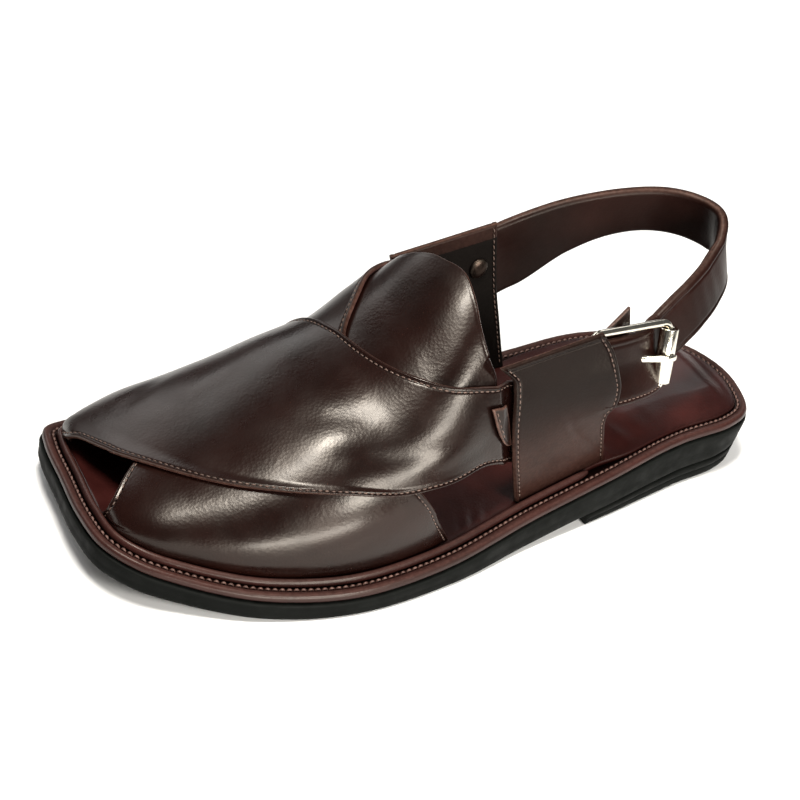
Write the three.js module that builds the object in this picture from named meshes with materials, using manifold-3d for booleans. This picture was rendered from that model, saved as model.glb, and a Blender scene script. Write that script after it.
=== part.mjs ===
// A left chappal: two wide crossed straps and a domed tongue on a leather rim and
// a black rubber sole, with an ankle strap that a roller buckle fastens.
// Millimetres, +Z up, toe towards -X, heel towards +X, lateral side towards -Y.
import * as THREE from 'three';
import { mergeVertices } from 'three/addons/utils/BufferGeometryUtils.js';
import Module from 'manifold-3d';

// Driving sizes of the sole
const soleLength = 290;
const ballWidth = 116;
const heelHeight = 21;
const toeRise = 17.8;
const forefootSole = 6.4;
const breastHeight = 4.4;
const breastAt = 50;
const heelUndercut = 3;
const clearance = 0.3;

// Driving sizes of the leather rim and the insole
const rubberLedge = 0.8;
const ridgeWidth = 2.9;
const ridgeHeight = 4.4;
const grooveWidth = 1.8;
const grooveFloor = 2.9;
const midsoleBoard = 2;
const pipingWidth = 2.4;
const pipingHeight = 2.8;
const insoleThickness = 2;
const heelPadRise = 3.2;

// Driving sizes of the last and the leather
const instepHeight = 66;
const leather = 1.9;
const strapOverlap = 0.4;
const strapRoom = 1.7;
const tongueLeather = 2.2;
const quarterLeather = 2.4;
const quarterFrontTop = 76;
const quarterRearTop = 83.5;
const quarterRearAt = 43;
const lateralTopHalf = 38;
const medialTopHalf = 40;

// Driving sizes of the ankle strap and the buckle
const strapWidth = 22;
const strapThickness = 3.2;
const rodDiameter = 3;
const rollerDiameter = 6;
const rollerBore = 3.6;
const frameLength = 40;
const frameHeight = 27;
const frameCorner = 4;
const buckleAt = 43;
const buckleTop = 79;
const buckleYaw = 5;
const bucklePitch = -5;
const prongWidth = 2.6;
const prongThickness = 1.6;
const guardLeather = 1.6;
const rivetDiameter = 8;
const rivetRise = 1.4;
const tabLeather = 1.6;

// Colours from the photo
const looks = {
  rubber: { color: 0x121412, roughness: 0.62, metalness: 0 },
  rim: { color: 0x55302a, roughness: 0.42, metalness: 0 },
  insole: { color: 0x4a1f1a, roughness: 0.4, metalness: 0 },
  upper: { color: 0x3a1f1a, roughness: 0.28, metalness: 0 },
  lining: { color: 0x17110f, roughness: 0.7, metalness: 0 },
  metal: { color: 0xe9dcc0, roughness: 0.2, metalness: 1 },
};

const chappal = new THREE.Group();

function add(name, geometry, look) {
  const mesh = new THREE.Mesh(geometry, new THREE.MeshStandardMaterial(looks[look]));
  mesh.name = name;
  chappal.add(mesh);
}

// A monotone curve through the rows of a table, flat where two rows are level
function curveThrough(rows, from, to) {
  const count = rows.length;
  const steps = rows.slice(1).map((row, i) => (row[to] - rows[i][to]) / (row[from] - rows[i][from]));
  const slopes = rows.map((row, i) => {
    if (i === 0) return steps[0];
    if (i === count - 1) return steps[count - 2];
    if (steps[i - 1] * steps[i] <= 0) return 0;
    return 2 * steps[i - 1] * steps[i] / (steps[i - 1] + steps[i]);
  });
  return (at) => {
    const x = THREE.MathUtils.clamp(at, rows[0][from], rows[count - 1][from]);
    let i = 0;
    while (i < count - 2 && x > rows[i + 1][from]) i += 1;
    const width = rows[i + 1][from] - rows[i][from];
    const t = (x - rows[i][from]) / width;
    const start = (1 + 2 * t) * (1 - t) ** 2 * rows[i][to] + t * (1 - t) ** 2 * width * slopes[i];
    const end = t * t * (3 - 2 * t) * rows[i + 1][to] + t * t * (t - 1) * width * slopes[i + 1];
    return start + end;
  };
}

function smoothstep(low, high, value) {
  return THREE.MathUtils.smoothstep(value, low, high);
}

// Closed bodies from grids of points

function bodyFrom(positions, triangles) {
  const geometry = new THREE.BufferGeometry();
  const numbers = positions.flatMap((p) => [p.x, p.y, p.z]);
  geometry.setAttribute('position', new THREE.Float32BufferAttribute(numbers, 3));
  geometry.setIndex(triangles);
  return facingOut(geometry);
}

function facingOut(geometry) {
  const index = geometry.index.array;
  const position = geometry.attributes.position;
  const [a, b, c] = [new THREE.Vector3(), new THREE.Vector3(), new THREE.Vector3()];
  let volume = 0;
  for (let i = 0; i < index.length; i += 3) {
    a.fromBufferAttribute(position, index[i]);
    b.fromBufferAttribute(position, index[i + 1]);
    c.fromBufferAttribute(position, index[i + 2]);
    volume += a.dot(b.cross(c));
  }
  if (volume < 0) {
    for (let i = 0; i < index.length; i += 3) {
      [index[i + 1], index[i + 2]] = [index[i + 2], index[i + 1]];
    }
  }
  return geometry;
}

// A sheet with thickness: inner and outer surfaces over one grid, joined round its edge
function shell(outer, inner, across, along) {
  const points = [];
  const faces = [];
  const row = along + 1;
  const layer = (across + 1) * row;
  for (const surface of [outer, inner]) {
    for (let i = 0; i <= across; i += 1) {
      for (let j = 0; j <= along; j += 1) points.push(surface(i / across, j / along));
    }
  }
  const quad = (a, b, c, d) => faces.push(a, b, c, a, c, d);
  for (let i = 0; i < across; i += 1) {
    for (let j = 0; j < along; j += 1) {
      const a = i * row + j;
      quad(a, a + row, a + row + 1, a + 1);
      quad(layer + a, layer + a + 1, layer + a + row + 1, layer + a + row);
    }
  }
  for (let i = 0; i < across; i += 1) {
    const near = i * row;
    const far = i * row + along;
    quad(near + row, near, layer + near, layer + near + row);
    quad(far, far + row, layer + far + row, layer + far);
  }
  for (let j = 0; j < along; j += 1) {
    const last = across * row + j;
    quad(j, j + 1, layer + j + 1, layer + j);
    quad(last + 1, last, layer + last, layer + last + 1);
  }
  return bodyFrom(points, faces);
}

// A section carried along frames of a path, closed on itself or with flat ends
function sweep(frames, section, closed) {
  const points = frames.flatMap((frame) => section.map(([side, rise]) => (
    frame.at.clone().addScaledVector(frame.side, side).addScaledVector(frame.up, rise))));
  const faces = [];
  const sides = section.length;
  const spans = closed ? frames.length : frames.length - 1;
  for (let i = 0; i < spans; i += 1) {
    const next = (i + 1) % frames.length;
    for (let j = 0; j < sides; j += 1) {
      const k = (j + 1) % sides;
      faces.push(i * sides + j, next * sides + j, next * sides + k);
      faces.push(i * sides + j, next * sides + k, i * sides + k);
    }
  }
  if (!closed) {
    const last = (frames.length - 1) * sides;
    for (let j = 1; j < sides - 1; j += 1) {
      faces.push(0, j, j + 1);
      faces.push(last, last + j + 1, last + j);
    }
  }
  return bodyFrom(points, faces);
}

function roundSection(width, height, sides) {
  return Array.from({ length: sides }, (_, i) => {
    const angle = (i + 0.5) / sides * 2 * Math.PI;
    return [width / 2 * Math.cos(angle), height / 2 * Math.sin(angle)];
  });
}

// The sole's outline, from the toe along the lateral side to the heel and back.
// x is a share of the sole's length, y a share of the ball's width.
const outlineRows = [
  { x: -0.496, y: -0.04 }, { x: -0.491, y: -0.19 }, { x: -0.462, y: -0.298 }, { x: -0.41, y: -0.388 },
  { x: -0.331, y: -0.488 }, { x: -0.207, y: -0.56 }, { x: -0.069, y: -0.539 }, { x: 0.069, y: -0.466 },
  { x: 0.207, y: -0.41 }, { x: 0.338, y: -0.349 }, { x: 0.428, y: -0.328 }, { x: 0.472, y: -0.276 },
  { x: 0.495, y: -0.155 }, { x: 0.5, y: -0.03 }, { x: 0.482, y: 0.11 }, { x: 0.438, y: 0.225 },
  { x: 0.345, y: 0.31 }, { x: 0.207, y: 0.325 }, { x: 0.069, y: 0.345 }, { x: -0.069, y: 0.39 },
  { x: -0.207, y: 0.425 }, { x: -0.293, y: 0.455 }, { x: -0.372, y: 0.468 }, { x: -0.432, y: 0.438 },
  { x: -0.466, y: 0.395 }, { x: -0.479, y: 0.31 }, { x: -0.488, y: 0.14 },
];

const heelRow = 13;
const sideSteps = 44;
const outline = new THREE.CatmullRomCurve3(
  outlineRows.map((row) => new THREE.Vector3(row.x * soleLength, row.y * ballWidth, 0)), true, 'centripetal');
outline.arcLengthDivisions = 1200;
const outlineLengths = outline.getLengths(1200);
const perimeter = outlineLengths[1200];
const heelShare = outlineLengths[Math.round(1200 * heelRow / outlineRows.length)] / perimeter;

// Steps along a side lie closer together round the toe and the heel
function sideStep(k) {
  const even = k / sideSteps;
  return 0.62 * even + 0.38 * (1 - Math.cos(Math.PI * even)) / 2;
}

// A point of the outline moved inwards, by the side that it is on and its share from toe to heel
const cornerWindow = 11;

function outlinePoint(side, share, inset) {
  const at = side < 0 ? share * heelShare : 1 - share * (1 - heelShare);
  const wrap = (value) => ((value % 1) + 1) % 1;
  const point = outline.getPointAt(wrap(at));
  const before = outline.getPointAt(wrap(at - cornerWindow / perimeter));
  const after = outline.getPointAt(wrap(at + cornerWindow / perimeter));
  const tangent = after.sub(before).normalize();
  return new THREE.Vector3(point.x - tangent.y * inset, point.y + tangent.x * inset, 0);
}

function ring(inset, height) {
  const points = [];
  for (let k = 0; k < sideSteps; k += 1) points.push(outlinePoint(-1, sideStep(k), inset));
  for (let k = sideSteps; k > 0; k -= 1) points.push(outlinePoint(1, sideStep(k), inset));
  points.forEach((p) => { p.z = height(p.x, p.y); });
  return points;
}

// Rings stacked from a bottom cap over the side to a top cap. Each cap has rungs from the
// lateral to the medial side, with columns between them that follow a height.
function stack(rings, bottomHeight, topHeight, columns) {
  const count = rings[0].length;
  const points = rings.flat();
  const faces = [];
  for (let r = 0; r < rings.length - 1; r += 1) {
    for (let i = 0; i < count; i += 1) {
      const next = (i + 1) % count;
      const [a, b] = [r * count + i, r * count + next];
      faces.push(a, b, b + count, a, b + count, a + count);
    }
  }
  const cap = (start, height, up) => {
    const rungs = [];
    for (let k = 0; k <= count / 2; k += 1) {
      const left = start + k;
      const right = start + (count - k) % count;
      const rung = [left];
      if (left !== right) {
        for (let c = 1; c < columns; c += 1) {
          const p = points[left].clone().lerp(points[right], c / columns);
          p.z = height(p.x, p.y, c / columns);
          rung.push(points.length);
          points.push(p);
        }
        rung.push(right);
      }
      rungs.push(rung);
    }
    const face = (a, b, c) => (up ? faces.push(a, b, c) : faces.push(a, c, b));
    for (let k = 0; k < rungs.length - 1; k += 1) {
      const [low, high] = [rungs[k], rungs[k + 1]];
      for (let c = 0; c < columns; c += 1) {
        if (low.length === 1) face(low[0], high[c], high[c + 1]);
        else if (high.length === 1) face(low[c], high[0], low[c + 1]);
        else {
          face(low[c], high[c], high[c + 1]);
          face(low[c], high[c + 1], low[c + 1]);
        }
      }
    }
  };
  cap(0, bottomHeight, false);
  cap((rings.length - 1) * count, topHeight, true);
  return bodyFrom(points, faces);
}

// Heights along the sole: x is a share of its length, the rest are shares of the sizes named
const rubberTopRows = [
  { x: -0.5, toe: 1, forefoot: 0, heel: 0 }, { x: -0.44, toe: 0.6, forefoot: 0, heel: 0 },
  { x: -0.38, toe: 0.3, forefoot: 0, heel: 0 }, { x: -0.3, toe: 0.07, forefoot: 0, heel: 0 },
  { x: -0.22, toe: 0, forefoot: 1, heel: 0 }, { x: -0.1, toe: 0, forefoot: 1, heel: 0.06 },
  { x: 0, toe: 0, forefoot: 1, heel: 0.24 }, { x: 0.1, toe: 0, forefoot: 1, heel: 0.46 },
  { x: 0.2, toe: 0, forefoot: 1, heel: 0.7 }, { x: 0.32, toe: 0, forefoot: 1, heel: 0.94 },
  { x: 0.42, toe: 0, forefoot: 1, heel: 1 }, { x: 0.5, toe: 0, forefoot: 1, heel: 1 },
].map((row) => ({
  x: row.x * soleLength,
  z: forefootSole + row.toe * (toeRise - forefootSole) + row.heel * (heelHeight - forefootSole),
}));
const rubberTop = curveThrough(rubberTopRows, 'x', 'z');

const rubberBottomRows = [
  { x: -0.5, toe: 0.82, breast: 0 }, { x: -0.44, toe: 0.5, breast: 0 }, { x: -0.38, toe: 0.26, breast: 0 },
  { x: -0.31, toe: 0.06, breast: 0 }, { x: -0.26, toe: 0, breast: 0 }, { x: -0.05, toe: 0, breast: 0 },
  { x: 0.05, toe: 0, breast: 0.25 }, { x: breastAt / soleLength, toe: 0, breast: 1 },
  { x: 0.4, toe: 0, breast: 1.8 }, { x: 0.5, toe: 0, breast: 1.9 },
].map((row) => ({
  x: row.x * soleLength,
  z: row.toe * (toeRise - forefootSole) + row.breast * breastHeight,
}));
const rubberBottom = curveThrough(rubberBottomRows, 'x', 'z');

// The outsole, a rubber sheet that thickens to a wedge, its rear end slightly undercut
function tapered(point) {
  const share = smoothstep(0.3 * soleLength, 0.47 * soleLength, point.x);
  const inwards = new THREE.Vector3(0.25 * soleLength, 0, point.z).sub(point).normalize();
  return point.addScaledVector(inwards, share * heelUndercut * (1 - point.z / heelHeight));
}

function taperedRing(inset, height) {
  return ring(inset, height).map(tapered);
}

const soleEdgeRound = 1;
add('outsole', stack([
  taperedRing(soleEdgeRound, (x) => rubberBottom(x)),
  taperedRing(0, (x) => rubberBottom(x) + soleEdgeRound),
  taperedRing(0, (x) => rubberTop(x) - soleEdgeRound * 0.6),
  taperedRing(soleEdgeRound * 0.6, (x) => rubberTop(x)),
], (x) => rubberBottom(x), (x) => rubberTop(x), 2), 'rubber');

// The heel lift fills the space under the wedge, from the floor up, behind the breast
function heelLift() {
  const rows = 16;
  const share = (x) => {
    let [low, high] = [0.4, 1];
    for (let n = 0; n < 24; n += 1) {
      const middle = (low + high) / 2;
      if (outlinePoint(-1, middle, 0).x < x) low = middle;
      else high = middle;
    }
    return low;
  };
  const start = share(breastAt);
  const levels = [
    { inset: soleEdgeRound, lift: 0 }, { inset: 0, lift: soleEdgeRound }, { inset: 0, lift: null },
  ];
  const points = [];
  const loops = levels.map((level) => {
    const loop = [];
    const place = (side, s) => {
      const p = outlinePoint(side, s, level.inset);
      if (s === start) p.x = breastAt;
      p.z = level.lift === null ? rubberBottom(p.x) - clearance : level.lift;
      loop.push(points.length);
      points.push(tapered(p));
    };
    for (let k = 0; k < rows; k += 1) place(-1, start + (1 - start) * k / rows);
    for (let k = rows; k >= 0; k -= 1) place(1, start + (1 - start) * k / rows);
    return loop;
  });
  const faces = [];
  const count = loops[0].length;
  for (let r = 0; r < loops.length - 1; r += 1) {
    for (let i = 0; i < count; i += 1) {
      const next = (i + 1) % count;
      faces.push(loops[r][i], loops[r][next], loops[r + 1][next]);
      faces.push(loops[r][i], loops[r + 1][next], loops[r + 1][i]);
    }
  }
  const cap = (loop, up) => {
    const face = (a, b, c) => (up ? faces.push(a, b, c) : faces.push(a, c, b));
    for (let k = 0; k < rows; k += 1) {
      const [a, b] = [loop[k], loop[k + 1]];
      const [d, c] = [loop[count - 1 - k], loop[count - 2 - k]];
      if (k === rows - 1) face(a, b, d);
      else {
        face(a, b, c);
        face(a, c, d);
      }
    }
  };
  cap(loops[0], false);
  cap(loops[levels.length - 1], true);
  return bodyFrom(points, faces);
}
add('heel', heelLift(), 'rubber');

// The leather-covered board: a rounded outer ridge, a groove for the stitches and a flat seat
const midsoleBase = (x) => rubberTop(x) + clearance;
const seat = (x) => midsoleBase(x) + midsoleBoard;
const ridgeStart = rubberLedge;
const grooveStart = ridgeStart + ridgeWidth;
const pipingStart = grooveStart + grooveWidth;
const ridgeRows = [
  { inset: 0.3, rise: 0 }, { inset: 0, rise: 0.35 }, { inset: 0.12, rise: 0.75 }, { inset: 0.4, rise: 1 },
  { inset: 0.7, rise: 0.96 }, { inset: 1, rise: 0.66 },
];
add('midsole', stack([
  ...ridgeRows.map((row) => (
    ring(ridgeStart + row.inset * ridgeWidth, (x) => midsoleBase(x) + row.rise * ridgeHeight))),
  ring(grooveStart + grooveWidth * 0.6, (x) => midsoleBase(x) + grooveFloor),
  ring(pipingStart, (x) => midsoleBase(x) + grooveFloor),
  ring(pipingStart + 0.4, seat),
], (x) => midsoleBase(x), (x) => seat(x), 2), 'rim');

// The piping, a round welt of leather from the lateral waist round the toe to the medial waist
const pipingReach = 0.66;
const pipingBase = (x) => seat(x) + clearance;
const pipingCentre = pipingStart + 0.4 + clearance + pipingWidth / 2;
function piping() {
  const steps = 34;
  const frames = [];
  for (let k = -steps; k <= steps; k += 1) {
    const share = Math.abs(k) / steps * pipingReach;
    const side = k < 0 ? -1 : 1;
    const at = outlinePoint(side, share, pipingCentre);
    const edge = outlinePoint(side, share, 0);
    at.z = pipingBase(at.x) + pipingHeight / 2;
    frames.push({ at, side: edge.sub(at).setZ(0).normalize(), up: new THREE.Vector3(0, 0, 1) });
  }
  return sweep(frames, roundSection(pipingWidth, pipingHeight, 6), false);
}
add('piping', piping(), 'rim');

// The insole: inside the piping at the forepart, out to the ridge and padded at the heel
const footInset = pipingCentre + pipingWidth / 2 + clearance;
const heelFootInset = grooveStart + grooveWidth + 0.4 + clearance;
const insoleBase = (x) => seat(x) + clearance;
const insoleTop = (x) => insoleBase(x) + insoleThickness;
function insoleRing(extra, height) {
  const inner = ring(footInset + extra, height);
  const outer = ring(heelFootInset + extra, height);
  return inner.map((p, i) => {
    const k = Math.min(i, inner.length - i);
    const share = smoothstep(pipingReach + 0.01, pipingReach + 0.07, sideStep(k));
    return p.lerp(outer[i], share);
  });
}
function padRise(x, across) {
  const start = 0.16 * soleLength;
  const end = 0.47 * soleLength;
  const along = smoothstep(start, start + 30, x) * (1 - smoothstep(end - 12, end, x));
  return heelPadRise * along * Math.min(1, 4 * across * (1 - across) * 1.4);
}
const insoleEdge = 0.5;
add('insole', stack([
  insoleRing(0, (x) => insoleBase(x)),
  insoleRing(0, (x) => insoleTop(x) - insoleEdge),
  insoleRing(insoleEdge * 1.4, (x) => insoleTop(x)),
], (x) => insoleBase(x), (x, y, across) => insoleTop(x) + padRise(x, across), 4), 'insole');

// The quarters stand on the foot line outside the strap ends. rise is a share of a quarter's
// height, front and rear are shares of the sole's length, lean is the way from the foot line to
// the top's half width and flare an outward bulge at the rear edge, a share of the half width.
const quarterInset = footInset + clearance;
const quarters = {
  lateral: {
    side: -1,
    topHalf: lateralTopHalf,
    rows: [
      { rise: 0, front: 0.055, rear: 0.209, lean: 0, flare: 0 },
      { rise: 0.2, front: 0.041, rear: 0.195, lean: 0, flare: 0.01 },
      { rise: 0.4, front: 0.029, rear: 0.183, lean: 0.08, flare: 0.05 },
      { rise: 0.5, front: 0.025, rear: 0.187, lean: 0.18, flare: 0.11 },
      { rise: 0.62, front: 0.022, rear: 0.184, lean: 0.33, flare: 0.13 },
      { rise: 0.75, front: 0.021, rear: 0.174, lean: 0.52, flare: 0.12 },
      { rise: 0.88, front: 0.019, rear: 0.164, lean: 0.77, flare: 0.06 },
      { rise: 1, front: -0.002, rear: 0.148, lean: 1, flare: 0 },
    ],
  },
  medial: {
    side: 1,
    topHalf: medialTopHalf,
    rows: [
      { rise: 0, front: 0.03, rear: 0.19, lean: 0, flare: 0 },
      { rise: 0.3, front: 0.022, rear: 0.173, lean: 0.16, flare: 0 },
      { rise: 0.6, front: 0.01, rear: 0.16, lean: 0.5, flare: 0 },
      { rise: 1, front: -0.01, rear: 0.151, lean: 1, flare: 0 },
    ],
  },
};

for (const quarter of Object.values(quarters)) {
  for (const column of ['front', 'rear', 'lean', 'flare']) {
    quarter[column] = curveThrough(quarter.rows, 'rise', column);
  }
  const foot = Array.from({ length: 41 }, (_, i) => (
    outlinePoint(quarter.side, 0.2 + i * 0.0175, quarterInset)));
  quarter.foot = curveThrough(foot, 'x', 'y');
}

// The outer face of a quarter: its y at a place along its width and a share of its height
function quarterY(quarter, x, rise) {
  const front = quarter.front(rise) * soleLength;
  const rear = quarter.rear(rise) * soleLength;
  const along = THREE.MathUtils.clamp((x - front) / (rear - front), 0, 1);
  const upright = THREE.MathUtils.lerp(quarter.foot(x), quarter.side * quarter.topHalf, quarter.lean(rise));
  return upright + quarter.side * quarter.flare(rise) * quarter.topHalf * along ** 2;
}

function quarterLow(x) {
  return insoleTop(x) + clearance;
}

function quarterHigh(x) {
  return THREE.MathUtils.mapLinear(x, 0, quarterRearAt, quarterFrontTop, quarterRearTop);
}

function quarterRise(x, z) {
  return (z - quarterLow(x)) / (quarterHigh(x) - quarterLow(x));
}

function quarterShell(quarter) {
  const surface = (depth) => (a, b) => {
    const x = THREE.MathUtils.lerp(quarter.front(b), quarter.rear(b), a) * soleLength;
    const y = quarterY(quarter, x, b) - quarter.side * depth;
    return new THREE.Vector3(x, y, THREE.MathUtils.lerp(quarterLow(x), quarterHigh(x), b));
  };
  return shell(surface(0), surface(quarterLeather), 8, 14);
}
add('quarter_lateral', quarterShell(quarters.lateral), 'upper');
add('quarter_medial', quarterShell(quarters.medial), 'upper');

// A piece beside a quarter stays inside of its inner face by a depth, and is let go in front of it
const letGo = 0.6;
function insideQuarter(quarter, point, depth) {
  const rise = THREE.MathUtils.clamp(quarterRise(point.x, point.z), 0, 1);
  const ahead = Math.max(0, quarter.front(rise) * soleLength - clearance - point.x);
  const inner = Math.abs(quarterY(quarter, point.x, rise)) - quarterLeather;
  const limit = inner - strapRoom - depth + ahead * letGo;
  const out = point.y * quarter.side;
  if (out > limit) point.y = limit * quarter.side;
  return point;
}

// The last. A section runs from the lateral to the medial foot line, at an equal share of each
// from the toe to the instep. height and lean, the top's shift to the medial side, are shares of
// the instep height, crown is where the top lies between the sides, full is how square it is.
const lateralToe = 0.005;
const medialToe = 0.12;
const instepShare = 0.62;
const lastRows = [
  { u: 0, height: 0.05, crown: 0.44, lean: 0, full: 2.2 },
  { u: 0.1, height: 0.15, crown: 0.5, lean: 0.01, full: 2.3 },
  { u: 0.2, height: 0.29, crown: 0.54, lean: 0.02, full: 2.3 },
  { u: 0.3, height: 0.43, crown: 0.56, lean: 0.03, full: 2.25 },
  { u: 0.4, height: 0.58, crown: 0.58, lean: 0.04, full: 2.2 },
  { u: 0.5, height: 0.72, crown: 0.6, lean: 0.06, full: 2.2 },
  { u: 0.6, height: 0.82, crown: 0.6, lean: 0.08, full: 2.2 },
  { u: 0.7, height: 1.03, crown: 0.6, lean: 0.1, full: 2.25 },
  { u: 0.8, height: 1.24, crown: 0.6, lean: 0.12, full: 2.35 },
  { u: 0.9, height: 1.36, crown: 0.58, lean: 0.12, full: 2.4 },
  { u: 1.2, height: 1.54, crown: 0.55, lean: 0.12, full: 2.6 },
];
const lastHeight = curveThrough(lastRows, 'u', 'height');
const lastCrown = curveThrough(lastRows, 'u', 'crown');
const lastLean = curveThrough(lastRows, 'u', 'lean');
const lastFull = curveThrough(lastRows, 'u', 'full');
const overLift = leather - strapOverlap;
const belly = THREE.MathUtils.degToRad(16);
const wallInset = footInset + clearance + leather;
const quarterTuck = quarterLeather + 2 * clearance;

function footLine(side, u) {
  const toe = side < 0 ? lateralToe : medialToe;
  const tuck = quarterTuck * smoothstep(0.68, 0.82, u);
  return outlinePoint(side, toe + (instepShare - toe) * u, wallInset + tuck);
}

function lastBase(u, angle) {
  const lateral = footLine(-1, u);
  const medial = footLine(1, u);
  const turn = angle / 180 * (Math.PI + 2 * belly) - belly;
  const power = 2 / lastFull(u);
  const reach = Math.cos(belly) ** power;
  const cosine = Math.cos(turn);
  const sine = Math.sin(turn);
  const crown = lastCrown(u);
  const half = cosine > 0 ? crown : 1 - crown;
  const across = crown - Math.sign(cosine) * half * Math.abs(cosine) ** power / reach;
  const point = lateral.lerp(medial, across);
  const dip = Math.sin(belly) ** power;
  const rise = (Math.sign(sine) * Math.abs(sine) ** power + dip) / (1 + dip);
  point.y += lastLean(u) * instepHeight * Math.max(0, rise);
  point.z = insoleTop(point.x) + clearance + lastHeight(u) * instepHeight * rise;
  return point;
}

// A point that lies off the last by an offset, kept above the insole at the foot line
function last(u, angle, offset) {
  const du = 0.004;
  const da = 0.5;
  const point = lastBase(u, angle);
  const along = lastBase(u + du, angle).sub(lastBase(u - du, angle));
  const around = lastBase(u, Math.min(180, angle + da)).sub(lastBase(u, Math.max(0, angle - da)));
  const normal = along.cross(around).normalize();
  const moved = point.clone().addScaledVector(normal, offset);
  const base = Math.min(angle, 180 - angle);
  if (base < 12) moved.z = THREE.MathUtils.lerp(point.z, moved.z, base / 12);
  moved.z = Math.max(moved.z, insoleTop(moved.x) + clearance);
  if (moved.y < 0) return insideQuarter(quarters.lateral, moved, overLift + leather - offset);
  return insideQuarter(quarters.medial, moved, leather - offset);
}

// A curve over the last through hand-picked rows of u and angle
function edgeOnLast(rows) {
  const curve = new THREE.CatmullRomCurve3(rows.map((row) => new THREE.Vector3(row.u, row.angle / 100, 0)));
  return (share) => {
    const p = curve.getPoint(share);
    return { u: p.x, angle: THREE.MathUtils.clamp(p.y * 100, 0, 180) };
  };
}

function strapOnLast(front, rear, low, high, across, along) {
  const frontEdge = edgeOnLast(front);
  const rearEdge = edgeOnLast(rear);
  const surface = (offset) => (a, b) => {
    const f = frontEdge(a);
    const r = rearEdge(a);
    const u = THREE.MathUtils.lerp(f.u, r.u, b);
    const angle = THREE.MathUtils.lerp(f.angle, r.angle, b);
    return last(u, angle, offset(u, angle, b));
  };
  return shell(surface(high), surface(low), across, along);
}

// The under-strap, from the lateral toe and ball, over the forefoot to the medial instep
const underFront = [
  { u: 0, angle: 0 }, { u: 0.01, angle: 28 }, { u: 0.055, angle: 52 }, { u: 0.13, angle: 74 },
  { u: 0.26, angle: 94 }, { u: 0.42, angle: 113 }, { u: 0.58, angle: 130 }, { u: 0.74, angle: 144 },
  { u: 0.92, angle: 152 },
];
const underRear = [
  { u: 0.74, angle: 0 }, { u: 0.69, angle: 14 }, { u: 0.645, angle: 28 }, { u: 0.58, angle: 50 },
  { u: 0.575, angle: 72 }, { u: 0.625, angle: 91 }, { u: 0.685, angle: 105 }, { u: 0.76, angle: 122 },
  { u: 0.92, angle: 128 },
];
const underStrap = strapOnLast(underFront, underRear, () => 0, () => leather, 26, 12);

// The over-strap, from the medial toe over the forefoot to the lateral instep. It lies on the
// under-strap, sinks to the last at the medial foot line and lifts a little at its front edge.
const frontLift = 1;
const overFront = [
  { u: 0, angle: 180 }, { u: 0.015, angle: 142 }, { u: 0.065, angle: 108 }, { u: 0.145, angle: 84 },
  { u: 0.25, angle: 63 }, { u: 0.38, angle: 48 }, { u: 0.55, angle: 34 }, { u: 0.72, angle: 21.5 },
  { u: 0.96, angle: 7 },
];
const overRear = [
  { u: 0.56, angle: 180 }, { u: 0.57, angle: 150 }, { u: 0.595, angle: 118 }, { u: 0.615, angle: 93 },
  { u: 0.64, angle: 76 }, { u: 0.68, angle: 62 }, { u: 0.76, angle: 45 }, { u: 0.85, angle: 34.5 },
  { u: 0.96, angle: 27 },
];
function overInner(u, angle, b) {
  const settled = overLift * (1 - smoothstep(150, 176, angle));
  const free = smoothstep(8, 40, angle) * (1 - smoothstep(120, 160, angle));
  const lifted = frontLift * (1 - smoothstep(0, 0.12, b)) * free;
  return settled + lifted;
}
const overOuter = (u, angle, b) => overInner(u, angle, b) + leather;
const overStrap = strapOnLast(overFront, overRear, overInner, overOuter, 30, 12);

const wasm = await Module();
wasm.setup();

function solid(geometry) {
  const merged = mergeVertices(geometry.deleteAttribute('normal').deleteAttribute('uv'), 1e-5);
  return new wasm.Manifold(new wasm.Mesh({
    numProp: 3,
    vertProperties: new Float32Array(merged.attributes.position.array),
    triVerts: new Uint32Array(merged.index.array),
  }));
}

function geometryOf(manifold) {
  const mesh = manifold.getMesh();
  const geometry = new THREE.BufferGeometry();
  geometry.setAttribute('position', new THREE.BufferAttribute(new Float32Array(mesh.vertProperties), 3));
  geometry.setIndex(new THREE.BufferAttribute(new Uint32Array(mesh.triVerts), 1));
  return geometry;
}

add('upper', geometryOf(solid(underStrap).add(solid(overStrap))), 'upper');

// The tongue, a domed flap that comes up from under the over-strap's throat edge
const tongueFront = [
  { u: 0.56, angle: 104 }, { u: 0.53, angle: 84 }, { u: 0.54, angle: 66 }, { u: 0.6, angle: 49 },
  { u: 0.7, angle: 35.5 }, { u: 0.83, angle: 24 },
];
const tongueTop = [
  { u: 0.735, angle: 126 }, { u: 0.775, angle: 122 }, { u: 0.785, angle: 106 }, { u: 0.805, angle: 92 },
  { u: 0.825, angle: 80 }, { u: 0.822, angle: 68 }, { u: 0.817, angle: 58 }, { u: 0.823, angle: 49 },
  { u: 0.843, angle: 42 }, { u: 0.87, angle: 33 },
];
const tongueOuter = () => -clearance;
const tongueInner = () => -clearance - tongueLeather;
add('tongue', strapOnLast(tongueFront, tongueTop, tongueInner, tongueOuter, 20, 10), 'upper');

// The side tab, a small rounded piece on the over-strap just in front of the lateral quarter
const tabRear = { top: { u: 0.82, angle: 31 }, bottom: { u: 0.845, angle: 20.5 } };
const tabReach = 0.046;
function tabSurface(offset) {
  return (a, b) => {
    const round = 0.2 + 0.8 * Math.sqrt(1 - (2 * a - 1) ** 4);
    const u = THREE.MathUtils.lerp(tabRear.top.u, tabRear.bottom.u, a);
    const angle = THREE.MathUtils.lerp(tabRear.top.angle, tabRear.bottom.angle, a);
    return last(u - tabReach * round * b, angle, offset);
  };
}
const tabInner = overLift + leather + 3 * clearance;
add('side_tab', shell(tabSurface(tabInner + tabLeather), tabSurface(tabInner), 8, 3), 'upper');

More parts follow.
